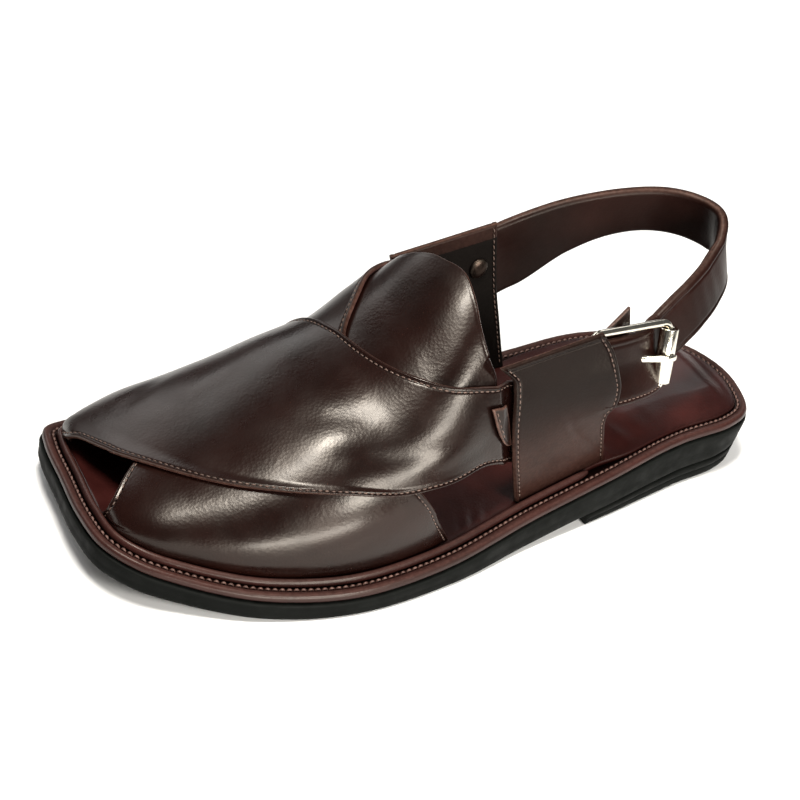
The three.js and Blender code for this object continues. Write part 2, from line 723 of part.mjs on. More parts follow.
// The buckle's own directions: along from the front bar to the roller, rise up the bars and out
// away from the foot. The front bar lies inside the lateral quarter's rear edge.
const rod = rodDiameter / 2;
const hookRadius = rod + clearance + prongThickness / 2;
const hookOut = hookRadius + prongThickness / 2 + clearance;
function besideLateral(x, z, depth) {
  return new THREE.Vector3(x, quarterY(quarters.lateral, x, quarterRise(x, z)) + quarterLeather + depth, z);
}
const barOut = rod + 2 * clearance;
const barTop = besideLateral(buckleAt, buckleTop, 2 * hookOut - barOut);
const barBottom = besideLateral(buckleAt, buckleTop - frameHeight, barOut);
const [yaw, pitch] = [buckleYaw, bucklePitch].map(THREE.MathUtils.degToRad);
const buckleAlong = new THREE.Vector3(Math.cos(yaw), Math.sin(yaw), Math.tan(pitch)).normalize();
const buckleRise = barTop.clone().sub(barBottom).projectOnPlane(buckleAlong).normalize();
const buckleOut = buckleAlong.clone().cross(buckleRise);
const buckleCentre = barTop.clone().addScaledVector(buckleRise, -frameHeight / 2);
function onBuckle(along, rise, out) {
  return buckleCentre.clone().addScaledVector(buckleAlong, along).addScaledVector(buckleRise, rise)
    .addScaledVector(buckleOut, out);
}

// The frame, a round rod bent to a rectangle with rounded corners; the roller turns on its rear bar
function buckleFrame() {
  const frames = [];
  const corners = [
    { along: frameLength, rise: frameHeight / 2, turn: 90 },
    { along: 0, rise: frameHeight / 2, turn: 180 },
    { along: 0, rise: -frameHeight / 2, turn: 270 },
    { along: frameLength, rise: -frameHeight / 2, turn: 360 },
  ];
  for (const { along, rise, turn } of corners) {
    const centreAlong = along === 0 ? frameCorner : along - frameCorner;
    const centreRise = rise - Math.sign(rise) * frameCorner;
    for (let k = 0; k <= 4; k += 1) {
      const angle = THREE.MathUtils.degToRad(turn - 90 + 22.5 * k);
      const side = buckleAlong.clone().multiplyScalar(Math.cos(angle))
        .addScaledVector(buckleRise, Math.sin(angle));
      const at = onBuckle(centreAlong, centreRise, 0).addScaledVector(side, frameCorner);
      frames.push({ at, side, up: buckleOut });
    }
  }
  return sweep(frames, roundSection(rodDiameter, rodDiameter, 8), true);
}
add('buckle_frame', buckleFrame(), 'metal');

function rollerTube() {
  const sides = 16;
  const half = frameHeight / 2 - frameCorner;
  const points = [];
  const faces = [];
  const outer = rollerDiameter / 2;
  const inner = rollerBore / 2;
  const rings = [[outer, -half], [outer, half], [inner, half], [inner, -half]];
  for (const [radius, rise] of rings) {
    for (let k = 0; k < sides; k += 1) {
      const angle = k / sides * 2 * Math.PI;
      points.push(onBuckle(frameLength + radius * Math.cos(angle), rise, radius * Math.sin(angle)));
    }
  }
  for (let r = 0; r < rings.length; r += 1) {
    const next = (r + 1) % rings.length;
    for (let k = 0; k < sides; k += 1) {
      const after = (k + 1) % sides;
      faces.push(r * sides + k, r * sides + after, next * sides + after);
      faces.push(r * sides + k, next * sides + after, next * sides + k);
    }
  }
  return bodyFrom(points, faces);
}
add('buckle_roller', rollerTube(), 'metal');

// The prong hooks round the front bar, passes up through the strap and rests on the roller
const prongBend = 11;
const prongTip = 2.4;
const prongRest = rollerDiameter / 2 + clearance + prongThickness / 2;
function prongPath() {
  const path = [];
  for (let angle = 70; angle <= 270; angle += 25) {
    const turn = THREE.MathUtils.degToRad(angle);
    path.push([hookRadius * Math.cos(turn), hookRadius * Math.sin(turn)]);
  }
  path.push([prongBend, -hookRadius], [frameLength, prongRest], [frameLength + prongTip, prongRest]);
  return path;
}
function prong(width, thickness) {
  const path = prongPath();
  const frames = path.map(([along, out], i) => {
    const [before, after] = [path[Math.max(0, i - 1)], path[Math.min(path.length - 1, i + 1)]];
    const ahead = new THREE.Vector2(after[0] - before[0], after[1] - before[1]).normalize();
    const up = buckleAlong.clone().multiplyScalar(-ahead.y).addScaledVector(buckleOut, ahead.x);
    return { at: onBuckle(along, 0, out), side: buckleRise, up };
  });
  const [half, thin] = [width / 2, thickness / 2];
  const edge = 0.5;
  return sweep(frames, [
    [half - edge, -thin], [half, edge - thin], [half, thin - edge], [half - edge, thin],
    [edge - half, thin], [-half, thin - edge], [-half, edge - thin], [edge - half, -thin],
  ], false);
}
add('buckle_prong', prong(prongWidth, prongThickness), 'metal');

// The ankle strap, from the outer face of the medial quarter round the heel to the buckle. x is
// a share of the sole's length, y of the ball's width, z the centre's height, tall the strap's
// height as a share of its width and lean how far its top edge tips inwards, in degrees.
const strapRows = [
  { x: 0.25, y: 0.305, z: 79, tall: 1.15, lean: 0 }, { x: 0.32, y: 0.258, z: 86.5, tall: 1.05, lean: 10 },
  { x: 0.38, y: 0.2, z: 89.5, tall: 1.07, lean: 16 }, { x: 0.416, y: 0.12, z: 90, tall: 1.1, lean: 18 },
  { x: 0.43, y: 0.03, z: 89, tall: 1.12, lean: 18 }, { x: 0.418, y: -0.053, z: 83.6, tall: 1.08, lean: 18 },
  { x: 0.386, y: -0.118, z: 78, tall: 1.02, lean: 20 }, { x: 0.35, y: -0.162, z: 73.4, tall: 1, lean: 21 },
  { x: 0.32, y: -0.185, z: 68.6, tall: 1, lean: 20 },
].map((row) => ({ ...row, at: new THREE.Vector3(row.x * soleLength, row.y * ballWidth, row.z) }));

// The medial end lies on the quarter, the other end passes behind the roller into the frame
function besideMedial(x, z) {
  const rise = quarterRise(x, z);
  const slope = quarterY(quarters.medial, x, rise + 0.1) - quarterY(quarters.medial, x, rise - 0.1);
  const lean = -Math.atan(slope / (0.2 * (quarterHigh(x) - quarterLow(x))));
  const out = (2 * clearance + strapThickness / 2) / Math.cos(lean);
  return {
    at: new THREE.Vector3(x, quarterY(quarters.medial, x, rise) + out, z),
    tall: 1.3,
    lean: THREE.MathUtils.radToDeg(lean),
  };
}
const buckleRows = [
  { along: 1.08, rise: 0.14, out: -0.26, lean: 18 }, { along: 0.9, rise: 0.05, out: -0.23, lean: 17 },
  { along: 0.68, rise: 0, out: -0.1, lean: 15 }, { along: 0.45, rise: -0.01, out: -0.02, lean: 15 },
  { along: 0.12, rise: -0.02, out: 0, lean: 14 },
].map((row) => ({
  at: onBuckle(row.along * frameLength, row.rise * frameHeight, row.out * frameHeight),
  tall: 1,
  lean: row.lean,
}));
const strapLine = [
  besideMedial(34, 62), besideMedial(43, 64.5), besideMedial(51, 67.5), ...strapRows, ...buckleRows,
];
const strapPath = new THREE.CatmullRomCurve3(strapLine.map((row) => row.at));
const strapTall = curveThrough(strapLine.map((row, i) => ({ at: i, tall: row.tall })), 'at', 'tall');
const strapLean = curveThrough(strapLine.map((row, i) => ({ at: i, lean: row.lean })), 'at', 'lean');

function strapFrame(share) {
  const at = strapPath.getPoint(share);
  const along = strapPath.getTangent(share);
  const outwards = new THREE.Vector3(-along.y, along.x, 0).normalize();
  const row = share * (strapLine.length - 1);
  const lean = THREE.MathUtils.degToRad(strapLean(row));
  const upright = along.clone().cross(outwards).normalize();
  if (upright.z < 0) upright.negate();
  const up = upright.multiplyScalar(Math.cos(lean)).addScaledVector(outwards, -Math.sin(lean)).normalize();
  const side = up.clone().cross(along).normalize();
  if (side.dot(outwards) < 0) side.negate();
  return { at, side, up: up.clone().multiplyScalar(strapTall(row)), along };
}

function strapSection() {
  const half = strapWidth / 2;
  const thin = strapThickness / 2;
  return [
    [thin * 0.55, -half], [thin, -half + 1], [thin, half - 1.6], [thin * 0.4, half],
    [-thin * 0.4, half], [-thin, half - 1.6], [-thin, -half + 1], [-thin * 0.55, -half],
  ];
}
const strapSteps = 46;
const strapBody = sweep(
  Array.from({ length: strapSteps + 1 }, (_, i) => strapFrame(i / strapSteps)), strapSection(), false);
const prongRoom = prong(prongWidth + 2 * clearance, prongThickness + 2 * clearance);
add('back_strap', geometryOf(solid(strapBody).subtract(solid(prongRoom))), 'upper');

// The guard, a flat flap behind the buckle with a pointed top; along and rise are shares of the
// frame's length and height
const guardRows = [
  { along: 0.02, rise: -0.4 }, { along: 0.4, rise: -0.42 }, { along: 0.5, rise: -0.3 },
  { along: 0.575, rise: 0.42 }, { along: 0.53, rise: 0.75 }, { along: 0.28, rise: 0.47 },
  { along: 0.02, rise: 0.38 },
];
const guardOut = -hookRadius - prongThickness / 2 - clearance;
function guardFlap() {
  const corners = guardRows.map((row) => [row.along * frameLength, row.rise * frameHeight]);
  const layer = (out) => corners.map(([along, rise]) => onBuckle(along, rise, out));
  const points = [...layer(guardOut - guardLeather), ...layer(guardOut)];
  const count = corners.length;
  const faces = [];
  for (let k = 0; k < count; k += 1) {
    const next = (k + 1) % count;
    faces.push(k, next, count + next, k, count + next, count + k);
  }
  for (let k = 1; k < count - 1; k += 1) faces.push(0, k + 1, k, count, count + k, count + k + 1);
  return bodyFrom(points, faces);
}
add('buckle_guard', guardFlap(), 'upper');

// The snap head on the inside of the medial quarter
const rivetAt = { x: 36.5, z: 66.4 };
function rivetHead() {
  const rise = quarterRise(rivetAt.x, rivetAt.z);
  const inner = (dx, dRise) => {
    const x = rivetAt.x + dx;
    const z = THREE.MathUtils.lerp(quarterLow(x), quarterHigh(x), rise + dRise);
    return new THREE.Vector3(x, quarterY(quarters.medial, x, rise + dRise) - quarterLeather, z);
  };
  const centre = inner(0, 0);
  const forward = inner(2, 0).sub(inner(-2, 0)).normalize();
  const upward = inner(0, 0.05).sub(inner(0, -0.05)).normalize();
  const inward = forward.clone().cross(upward).normalize();
  if (inward.y > 0) inward.negate();
  const radius = rivetDiameter / 2;
  const profile = [[radius, 0], [radius, 0.5], [radius * 0.8, rivetRise], [radius * 0.5, rivetRise]];
  const sides = 14;
  const points = [];
  const faces = [];
  for (const [reach, height] of profile) {
    for (let k = 0; k < sides; k += 1) {
      const angle = k / sides * 2 * Math.PI;
      points.push(centre.clone().addScaledVector(forward, reach * Math.cos(angle))
        .addScaledVector(upward, reach * Math.sin(angle)).addScaledVector(inward, clearance + height));
    }
  }
  for (let r = 0; r < profile.length - 1; r += 1) {
    for (let k = 0; k < sides; k += 1) {
      const after = (k + 1) % sides;
      faces.push(r * sides + k, r * sides + after, (r + 1) * sides + after);
      faces.push(r * sides + k, (r + 1) * sides + after, (r + 1) * sides + k);
    }
  }
  const last = (profile.length - 1) * sides;
  for (let k = 1; k < sides - 1; k += 1) faces.push(0, k + 1, k, last, last + k, last + k + 1);
  return bodyFrom(points, faces);
}
add('rivet', rivetHead(), 'metal');

// The origin is the middle of the footprint, on the floor
const footprint = new THREE.Box3().setFromObject(chappal, true);
const middle = footprint.getCenter(new THREE.Vector3());
chappal.position.set(-middle.x, -middle.y, -footprint.min.z);

export default chappal;
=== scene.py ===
"""The looks of a left chappal: crossed straps, a tongue, quarters, an ankle strap and a welted sole.

Shapes are worked out in millimetres in the maker's frame (toe towards -X, lateral side towards -Y,
floor at z = 0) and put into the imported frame, in metres, when a piece is finished.
"""

import logging
import math
from dataclasses import dataclass
from enum import Enum
from typing import Callable, Optional, Sequence

import bmesh
import bpy
import numpy as np
from mathutils import Matrix, Vector


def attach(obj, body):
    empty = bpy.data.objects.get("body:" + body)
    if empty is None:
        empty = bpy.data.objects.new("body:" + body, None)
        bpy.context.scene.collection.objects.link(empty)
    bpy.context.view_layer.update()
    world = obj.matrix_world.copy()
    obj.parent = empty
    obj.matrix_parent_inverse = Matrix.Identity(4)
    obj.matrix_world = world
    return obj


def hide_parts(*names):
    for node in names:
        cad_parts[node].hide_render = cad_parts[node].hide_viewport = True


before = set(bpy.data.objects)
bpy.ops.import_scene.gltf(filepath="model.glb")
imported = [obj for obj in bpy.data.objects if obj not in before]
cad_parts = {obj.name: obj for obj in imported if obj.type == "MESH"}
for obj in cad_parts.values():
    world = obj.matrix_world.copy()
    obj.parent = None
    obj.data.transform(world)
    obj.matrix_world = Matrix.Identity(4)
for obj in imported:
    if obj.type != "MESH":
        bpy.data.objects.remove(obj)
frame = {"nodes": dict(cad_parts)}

LOG = logging.getLogger("chappal")
MM = 0.001
FRAME_SHIFT = np.array([-0.578, 5.437, 0.0])
CLEARANCE = 0.3
MERGE = 0.002
SEAM = 2.1
ROLL = 0.9
Array = np.ndarray
Height = Callable[[Array], Array]
Lid = Callable[[Array, Array, Array], Array]
Rows = Sequence[tuple[float, float]]
Rgba = tuple[float, float, float, float]


class Side(Enum):
    """A side of the shoe, with the sign of its y."""

    LATERAL = -1
    MEDIAL = 1


class Slot(Enum):
    """The record's material slots."""

    RUBBER = "rubber"
    RIM = "rim"
    INSOLE = "insole"
    UPPER = "upper"
    METAL = "metal"


def smoothstep(low: float, high: float, value: Array) -> Array:
    """A smooth rise from 0 at low to 1 at high.

    Args:
        low: where the rise starts.
        high: where it ends.
        value: the places asked for.

    Returns:
        3t^2 - 2t^3 of the clamped share t.
    """
    share = np.clip((np.asarray(value, float) - low) / (high - low), 0.0, 1.0)
    return share * share * (3.0 - 2.0 * share)


def bell(distance: Array, width: float) -> Array:
    """A bell curve, exp(-(distance / width)^2)."""
    return np.exp(-((distance / width) ** 2))


def mix(first: Array, second: Array, share: Array) -> Array:
    """A straight mix of two values."""
    return first + (second - first) * share


def unit(vectors: Array) -> Array:
    """Vectors scaled to length 1."""
    return vectors / np.maximum(np.linalg.norm(vectors, axis=-1, keepdims=True), 1e-9)


def lengths_along(points: Array) -> Array:
    """The way along a line of points, from 0 at its first."""
    steps = np.linalg.norm(np.diff(points, axis=-2), axis=-1)
    return np.concatenate([np.zeros(steps.shape[:-1] + (1,)), np.cumsum(steps, -1)], -1)


def upwards(count: int) -> Array:
    """The upward direction, once for each of a number of points."""
    return np.tile([0.0, 0.0, 1.0], (count, 1))


def circle(count: int) -> Array:
    """Equal turns round a circle, in radians."""
    return np.linspace(0, 2 * np.pi, count, endpoint=False)


class Curve:
    """A monotone cubic curve through the rows of a table, flat where two rows are level."""

    def __init__(self, xs: Sequence[float], ys: Sequence[float]) -> None:
        """Keeps the rows and works out the slope at each, the harmonic mean of its two steps."""
        self.xs, self.ys = np.array(xs, float), np.array(ys, float)
        steps = np.diff(self.ys) / np.diff(self.xs)
        product = steps[:-1] * steps[1:]
        total = np.where(product > 0, steps[:-1] + steps[1:], 1.0)
        inner = np.where(product > 0, 2.0 * product / total, 0.0)
        self.slopes = np.concatenate([steps[:1], inner, steps[-1:]])

    def __call__(self, at: Array) -> Array:
        """The curve's value at each place, held level beyond the ends."""
        x = np.clip(at, self.xs[0], self.xs[-1])
        i = np.clip(np.searchsorted(self.xs, x) - 1, 0, len(self.xs) - 2)
        width = self.xs[i + 1] - self.xs[i]
        t = (x - self.xs[i]) / width
        start = (1 + 2 * t) * (1 - t) ** 2 * self.ys[i] + t * (1 - t) ** 2 * width * self.slopes[i]
        end = t * t * (3 - 2 * t) * self.ys[i + 1] + t * t * (t - 1) * width * self.slopes[i + 1]
        return start + end


class Spline:
    """A centripetal Catmull-Rom curve through points, open or closed."""

    def __init__(self, points: Sequence[Sequence[float]], closed: bool = False) -> None:
        """Keeps the points."""
        self.points, self.closed = np.array(points, float), closed

    def __call__(self, share: Array) -> Array:
        """Points at equal shares of the spans.

        Args:
            share: places from 0 to 1, an array of any shape.

        Returns:
            The points, with the coordinates along the last axis.
        """
        points, count = self.points, len(self.points)
        spans = count if self.closed else count - 1
        place = np.asarray(share, float) * spans
        i = np.floor(place).astype(int)
        if self.closed:
            near = [points[(i + k) % count] for k in (-1, 0, 1, 2)]
        else:
            i = np.clip(i, 0, spans - 1)
            before = np.vstack([2 * points[0] - points[1], points, 2 * points[-1] - points[-2]])
            near = [before[i + k + 1] for k in (-1, 0, 1, 2)]
        t = (place - i)[..., None]
        p0, p1, p2, p3 = near
        gaps = [np.maximum(np.linalg.norm(b - a, axis=-1, keepdims=True), 1e-8) ** 0.5
                for a, b in ((p0, p1), (p1, p2), (p2, p3))]
        d0, d1, d2 = gaps
        m1 = ((p1 - p0) / d0 - (p2 - p0) / (d0 + d1) + (p2 - p1) / d1) * d1
        m2 = ((p2 - p1) / d1 - (p3 - p1) / (d1 + d2) + (p3 - p2) / d2) * d1
        return (p1 + m1 * t + (-3 * p1 + 3 * p2 - 2 * m1 - m2) * t ** 2
                + (2 * p1 - 2 * p2 + m1 + m2) * t ** 3)


# ---------------------------------------------------------------- finishes


class Nodes:
    """A short way to lay out a material's nodes."""

    def __init__(self, name: str) -> None:
        """Makes the material with its shader and its object coordinates."""
        self.material = bpy.data.materials.new(name)
        self.material.use_nodes = True
        self.tree = self.material.node_tree
        self.shader = next(n for n in self.tree.nodes if n.type == "BSDF_PRINCIPLED")
        self.coordinates = self.tree.nodes.new("ShaderNodeTexCoord").outputs["Object"]

    def new(self, kind: str, settings: Optional[dict] = None, **inputs: object) -> bpy.types.Node:
        """Adds a node.

        Args:
            kind: the node's type, without its ShaderNode prefix.
            settings: the node's own settings.
            inputs: socket values or links, by socket name with _ for a space.

        Returns:
            The node.
        """
        node = self.tree.nodes.new("ShaderNode" + kind)
        for key, value in (settings or {}).items():
            setattr(node, key, value)
        for key, value in inputs.items():
            self.put(node.inputs[key.replace("_", " ")], value)
        return node

    def put(self, socket: bpy.types.NodeSocket, value: object) -> None:
        """Links or sets a socket."""
        if isinstance(value, bpy.types.NodeSocket):
            self.tree.links.new(value, socket)
        else:
            socket.default_value = value

    def wear(self, **inputs: object) -> None:
        """Links or sets the shader's sockets, named with _ for a space."""
        for key, value in inputs.items():
            self.put(self.shader.inputs[key.replace("_", " ")], value)

    def math(self, operation: str, first: object, second: object = 0.0,
             clamp: bool = False) -> bpy.types.NodeSocket:
        """One sum of two values."""
        node = self.new("Math", {"operation": operation, "use_clamp": clamp})
        self.put(node.inputs[0], first)
        self.put(node.inputs[1], second)
        return node.outputs[0]

    def noise(self, scale: float, detail: float = 3.0, rough: float = 0.55) -> bpy.types.NodeSocket:
        """A noise value on object coordinates, scale in waves a metre."""
        node = self.new("TexNoise", Vector=self.coordinates, Scale=scale, Detail=detail, Roughness=rough)
        return node.outputs["Fac"]

    def pebbles(self, scale: float) -> bpy.types.NodeSocket:
        """The distance to the nearest cell centre, as a leather's grain."""
        return self.new("TexVoronoi", Vector=self.coordinates, Scale=scale).outputs["Distance"]

    def between(self, value: object, low: float, high: float,
                to_low: float = 0.0, to_high: float = 1.0) -> bpy.types.NodeSocket:
        """A value taken from one range to another, clamped."""
        node = self.new("MapRange", {"clamp": True})
        for socket, number in zip(node.inputs, (value, low, high, to_low, to_high)):
            self.put(socket, number)
        return node.outputs[0]

    def blend(self, share: object, first: object, second: object) -> bpy.types.NodeSocket:
        """A mix of two colours."""
        node = self.new("Mix", {"data_type": "RGBA"})
        sockets = [s for s in node.inputs if s.enabled]
        for socket, value in zip(sockets, (share, first, second)):
            self.put(socket, value)
        return next(s for s in node.outputs if s.enabled)

    def attribute(self, name: str) -> bpy.types.NodeSocket:
        """A number that the mesh carries at each point."""
        return self.new("Attribute", {"attribute_name": name}).outputs["Fac"]

    def bump(self, height: object, strength: float, distance: float,
             below: object = None) -> bpy.types.NodeSocket:
        """A bump, distance in metres, on top of another one."""
        node = self.new("Bump", Strength=strength, Distance=distance, Height=height)
        if below is not None:
            self.put(node.inputs["Normal"], below)
        return node.outputs[0]


@dataclass(frozen=True)
class LeatherFinish:
    """A finished leather: its colours, its gloss and its grain."""

    name: str
    deep: Rgba
    mid: Rgba
    rubbed: Rgba
    rough: float = 0.3
    coat: float = 0.3
    coat_rough: float = 0.2
    grain: float = 900.0
    grain_depth: float = 0.00006
    mottle: float = 22.0
    gloss: float = 0.24

    def build(self) -> bpy.types.Material:
        """Makes the material: mottled dye, rubbed edges and painted sheen, painted shade, pores and fine
        grain.
        """
        n = Nodes(self.name)
        cloud = n.between(n.noise(self.mottle, 4.0), 0.36, 0.66)
        dyed = n.blend(cloud, self.deep, self.mid)
        streaks = n.between(n.noise(self.mottle * 9, 3.0, 0.6), 0.55, 0.75, 0.0, 0.35)
        dyed = n.blend(streaks, dyed, self.mid)
        speckle = n.between(n.noise(650.0, 2.0), 0.35, 0.65, 0.55, 1.15)
        # lightens towards the rubbed tone: rubbed edges, and painted sheen on the quarters and their collars
        worn = n.math("MULTIPLY", n.attribute("rub"), speckle, True)
        rubbed = n.blend(worn, dyed, self.rubbed)
        # the colour of the painted shade: a third of the deepest dye
        dark = tuple(0.3 * c for c in self.deep[:3]) + (1.0,)
        handling = n.between(n.noise(60.0, 4.0), 0.3, 0.7, self.rough - 0.05, self.rough + 0.07)
        waves = n.bump(n.noise(70.0, 3.0, 0.5), 0.35, 0.0006)
        cells = n.bump(n.pebbles(self.grain), 0.5, self.grain_depth, waves)
        n.wear(Base_Color=n.blend(n.attribute("dark"), rubbed, dark),
               Roughness=n.math("ADD", handling, n.math("MULTIPLY", worn, 0.15)),
               Specular_IOR_Level=self.gloss, Specular_Tint=(1.0, 0.92, 0.83, 1.0),
               Coat_Weight=self.coat, Coat_Roughness=self.coat_rough,
               Normal=n.bump(n.noise(2600.0, 2.0), 0.25, 0.00004, cells))
        return n.material


@dataclass(frozen=True)
class RubberFinish:
    """A matt black rubber with a fine speckle and scuffs."""

    name: str
    colour: Rgba = (0.0022, 0.0026, 0.0022, 1.0)
    scuffed: Rgba = (0.0085, 0.0092, 0.0082, 1.0)
    rough: float = 0.58

    def build(self) -> bpy.types.Material:
        """Makes the material: faint cloudy scuffs, a buffed edge and a fine bump."""
        n = Nodes(self.name)
        scuffs = n.between(n.noise(45.0, 6.0, 0.7), 0.52, 0.78, 0.0, 0.7)
        worn = n.math("MAXIMUM", scuffs, n.math("MULTIPLY", n.attribute("rub"), 0.7), True)
        lines = n.bump(n.noise(420.0, 3.0), 0.3, 0.0002)
        n.wear(Base_Color=n.blend(worn, self.colour, self.scuffed), Specular_IOR_Level=0.05,
               Roughness=n.between(n.noise(160.0, 3.0), 0.3, 0.7, self.rough - 0.08, self.rough + 0.14),
               Normal=n.bump(n.noise(2400.0, 2.0), 0.35, 0.00008, lines))
        return n.material


@dataclass(frozen=True)
class MetalFinish:
    """A polished plated metal, pale champagne, with hairline scratches."""

    name: str
    colour: Rgba = (0.86, 0.81, 0.7, 1.0)
    rough: float = 0.14

    def build(self) -> bpy.types.Material:
        """Makes the material: a slightly clouded plating with fine bumps, darkened by painted shade in the
        roller's bore and round the snap.
        """
        n = Nodes(self.name)
        clouded = tuple(c * 0.88 for c in self.colour[:3]) + (1.0,)
        tone = n.blend(n.between(n.noise(300.0, 3.0), 0.35, 0.7), self.colour, clouded)
        n.wear(Base_Color=n.blend(n.attribute("dark"), tone, (0.05, 0.045, 0.035, 1.0)), Metallic=1.0,
               Roughness=n.between(n.noise(500.0, 3.0), 0.3, 0.7, self.rough - 0.05, self.rough + 0.08),
               Normal=n.bump(n.noise(1500.0, 2.0), 0.15, 0.00005))
        return n.material


@dataclass(frozen=True)
class ThreadFinish:
    """A waxed sewing thread with a twist."""

    name: str
    colour: Rgba
    shaded: Rgba

    def build(self) -> bpy.types.Material:
        """Makes the material: a waxed thread, darker where dust of the leather clings."""
        n = Nodes(self.name)
        n.wear(Base_Color=n.blend(n.between(n.noise(900.0, 3.0), 0.35, 0.65), self.colour, self.shaded),
               Roughness=0.55, Normal=n.bump(n.noise(5000.0, 2.0), 0.5, 0.0001))
        return n.material


class Finishes:
    """Every finish of the shoe, made once."""

    def __init__(self) -> None:
        """Builds the materials."""
        self.upper = LeatherFinish(
            "polished_brown_leather", (0.0036, 0.001, 0.0007, 1), (0.0092, 0.0025, 0.0017, 1),
            (0.085, 0.042, 0.031, 1), rough=0.28, coat=0.09, coat_rough=0.19, gloss=0.28).build()
        self.satin = LeatherFinish(
            "satin_brown_leather", (0.005, 0.0013, 0.0009, 1), (0.0122, 0.0033, 0.0023, 1),
            (0.1, 0.052, 0.039, 1), rough=0.36, coat=0.0, gloss=0.13).build()
        self.lining = LeatherFinish(
            "black_lining", (0.0022, 0.0014, 0.0012, 1), (0.0038, 0.0026, 0.0022, 1),
            (0.03, 0.018, 0.015, 1), rough=0.66, coat=0.0, grain=1300.0, gloss=0.1).build()
        self.inside = LeatherFinish(
            "burgundy_strap_lining", (0.016, 0.003, 0.0026, 1), (0.03, 0.0062, 0.0052, 1),
            (0.1, 0.05, 0.04, 1), rough=0.5, coat=0.0, grain=1200.0).build()
        self.rim = LeatherFinish(
            "brown_rim_leather", (0.0125, 0.0034, 0.0028, 1), (0.0245, 0.0068, 0.0056, 1),
            (0.085, 0.038, 0.031, 1), rough=0.38, coat=0.08, coat_rough=0.25, grain=1100.0,
            mottle=40.0).build()
        self.insole = LeatherFinish(
            "burgundy_insole_leather", (0.017, 0.0034, 0.0029, 1), (0.037, 0.0078, 0.0065, 1),
            (0.1, 0.04, 0.032, 1), rough=0.36, coat=0.25, coat_rough=0.22, grain=1000.0, mottle=30.0).build()
        self.rubber = RubberFinish("black_rubber").build()
        self.metal = MetalFinish("champagne_plating").build()
        self.snap = MetalFinish("dark_snap_metal", (0.042, 0.029, 0.023, 1.0), 0.36).build()
        self.thread = ThreadFinish("upper_thread", (0.12, 0.074, 0.056, 1), (0.05, 0.027, 0.02, 1)).build()
        self.rim_thread = ThreadFinish(
            "rim_thread", (0.13, 0.068, 0.053, 1), (0.055, 0.025, 0.019, 1)).build()


# ---------------------------------------------------------------- building meshes


class Piece:
    """A mesh gathered from grids of points, in the maker's millimetres."""

    def __init__(self, name: str) -> None:
        """Starts an empty piece."""
        self.name = name
        self.points: list[Array] = []
        self.faces: list[Array] = []
        self.slots: list[Array] = []
        self.marks: dict[str, list[Array]] = {"rub": [], "dark": []}
        self.count = 0

    def grid(self, points: Array, wrap: bool = False, slot: int = 0,
             rub: Array | float = 0.0, dark: Array | float = 0.0) -> None:
        """Adds a grid of points, with a face between each four neighbours.

        Args:
            points: rows of columns of points.
            wrap: whether the last column joins the first.
            slot: the material's number.
            rub: how rubbed the surface is, and where painted sheen lightens it, one number or a grid.
            dark: how much painted shade darkens the surface, one number or a grid.
        """
        rows, columns = points.shape[:2]
        index = self.count + np.arange(rows * columns).reshape(rows, columns)
        right = np.roll(index, -1, 1) if wrap else index[:, 1:]
        left = index if wrap else index[:, :-1]
        quads = np.stack([left[:-1], right[:-1], right[1:], left[1:]], -1).reshape(-1, 4)
        self.points.append(points.reshape(-1, 3))
        self.faces.append(quads)
        self.slots.append(np.full(len(quads), slot))
        for key, value in (("rub", rub), ("dark", dark)):
            self.marks[key].append(np.broadcast_to(value, (rows, columns)).reshape(-1).astype(float))
        self.count += rows * columns

    def finish(self, slot: Slot, materials: Sequence[bpy.types.Material], *nodes: str) -> None:
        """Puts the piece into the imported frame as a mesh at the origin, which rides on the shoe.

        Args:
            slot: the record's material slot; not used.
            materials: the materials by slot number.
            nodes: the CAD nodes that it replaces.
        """
        mesh = bpy.data.meshes.new(self.name)
        points = (np.concatenate(self.points) + FRAME_SHIFT) * MM
        mesh.from_pydata(points.tolist(), [], np.concatenate(self.faces).tolist())
        mesh.polygons.foreach_set("material_index", np.concatenate(self.slots).astype(np.int32))
        for key, values in self.marks.items():
            layer = mesh.attributes.new(key, "FLOAT", "POINT")
            layer.data.foreach_set("value", np.clip(np.concatenate(values), 0, 1).astype(np.float32))
        tidy = bmesh.new()
        tidy.from_mesh(mesh)
        bmesh.ops.remove_doubles(tidy, verts=tidy.verts, dist=MERGE * MM)
        bmesh.ops.dissolve_degenerate(tidy, edges=tidy.edges, dist=1e-8)
        bmesh.ops.recalc_face_normals(tidy, faces=tidy.faces)
        tidy.to_mesh(mesh)
        tidy.free()
        mesh.polygons.foreach_set("use_smooth", np.ones(len(mesh.polygons), bool))
        for material in materials:
            mesh.materials.append(material)
        mesh.update()
        made = bpy.data.objects.new(self.name, mesh)
        bpy.context.scene.collection.objects.link(made)
        LOG.info("%s: %d faces", self.name, len(mesh.polygons))
        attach(made, "root")
        if nodes:
            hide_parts(*nodes)


def tube(path: Array, side: Array, up: Array, radii: tuple[float, float],
         sides: int = 16) -> Array:
    """A round or oval section carried along a path.

    Args:
        path: the path's points.
        side: the section's first direction at each point.
        up: its second direction.
        radii: the section's two radii.
        sides: the points of the section.

    Returns:
        A grid of points, path by section: path + side*r1*cos + up*r2*sin.
    """
    turn = circle(sides)
    return (path[:, None] + side[:, None] * (radii[0] * np.cos(turn))[None, :, None]
            + up[:, None] * (radii[1] * np.sin(turn))[None, :, None])


@dataclass(frozen=True)
class StitchStyle:
    """The size of a row of stitches, in millimetres."""

    pitch: float = 2.3
    length: float = 1.75
    width: float = 0.55
    proud: float = 0.2


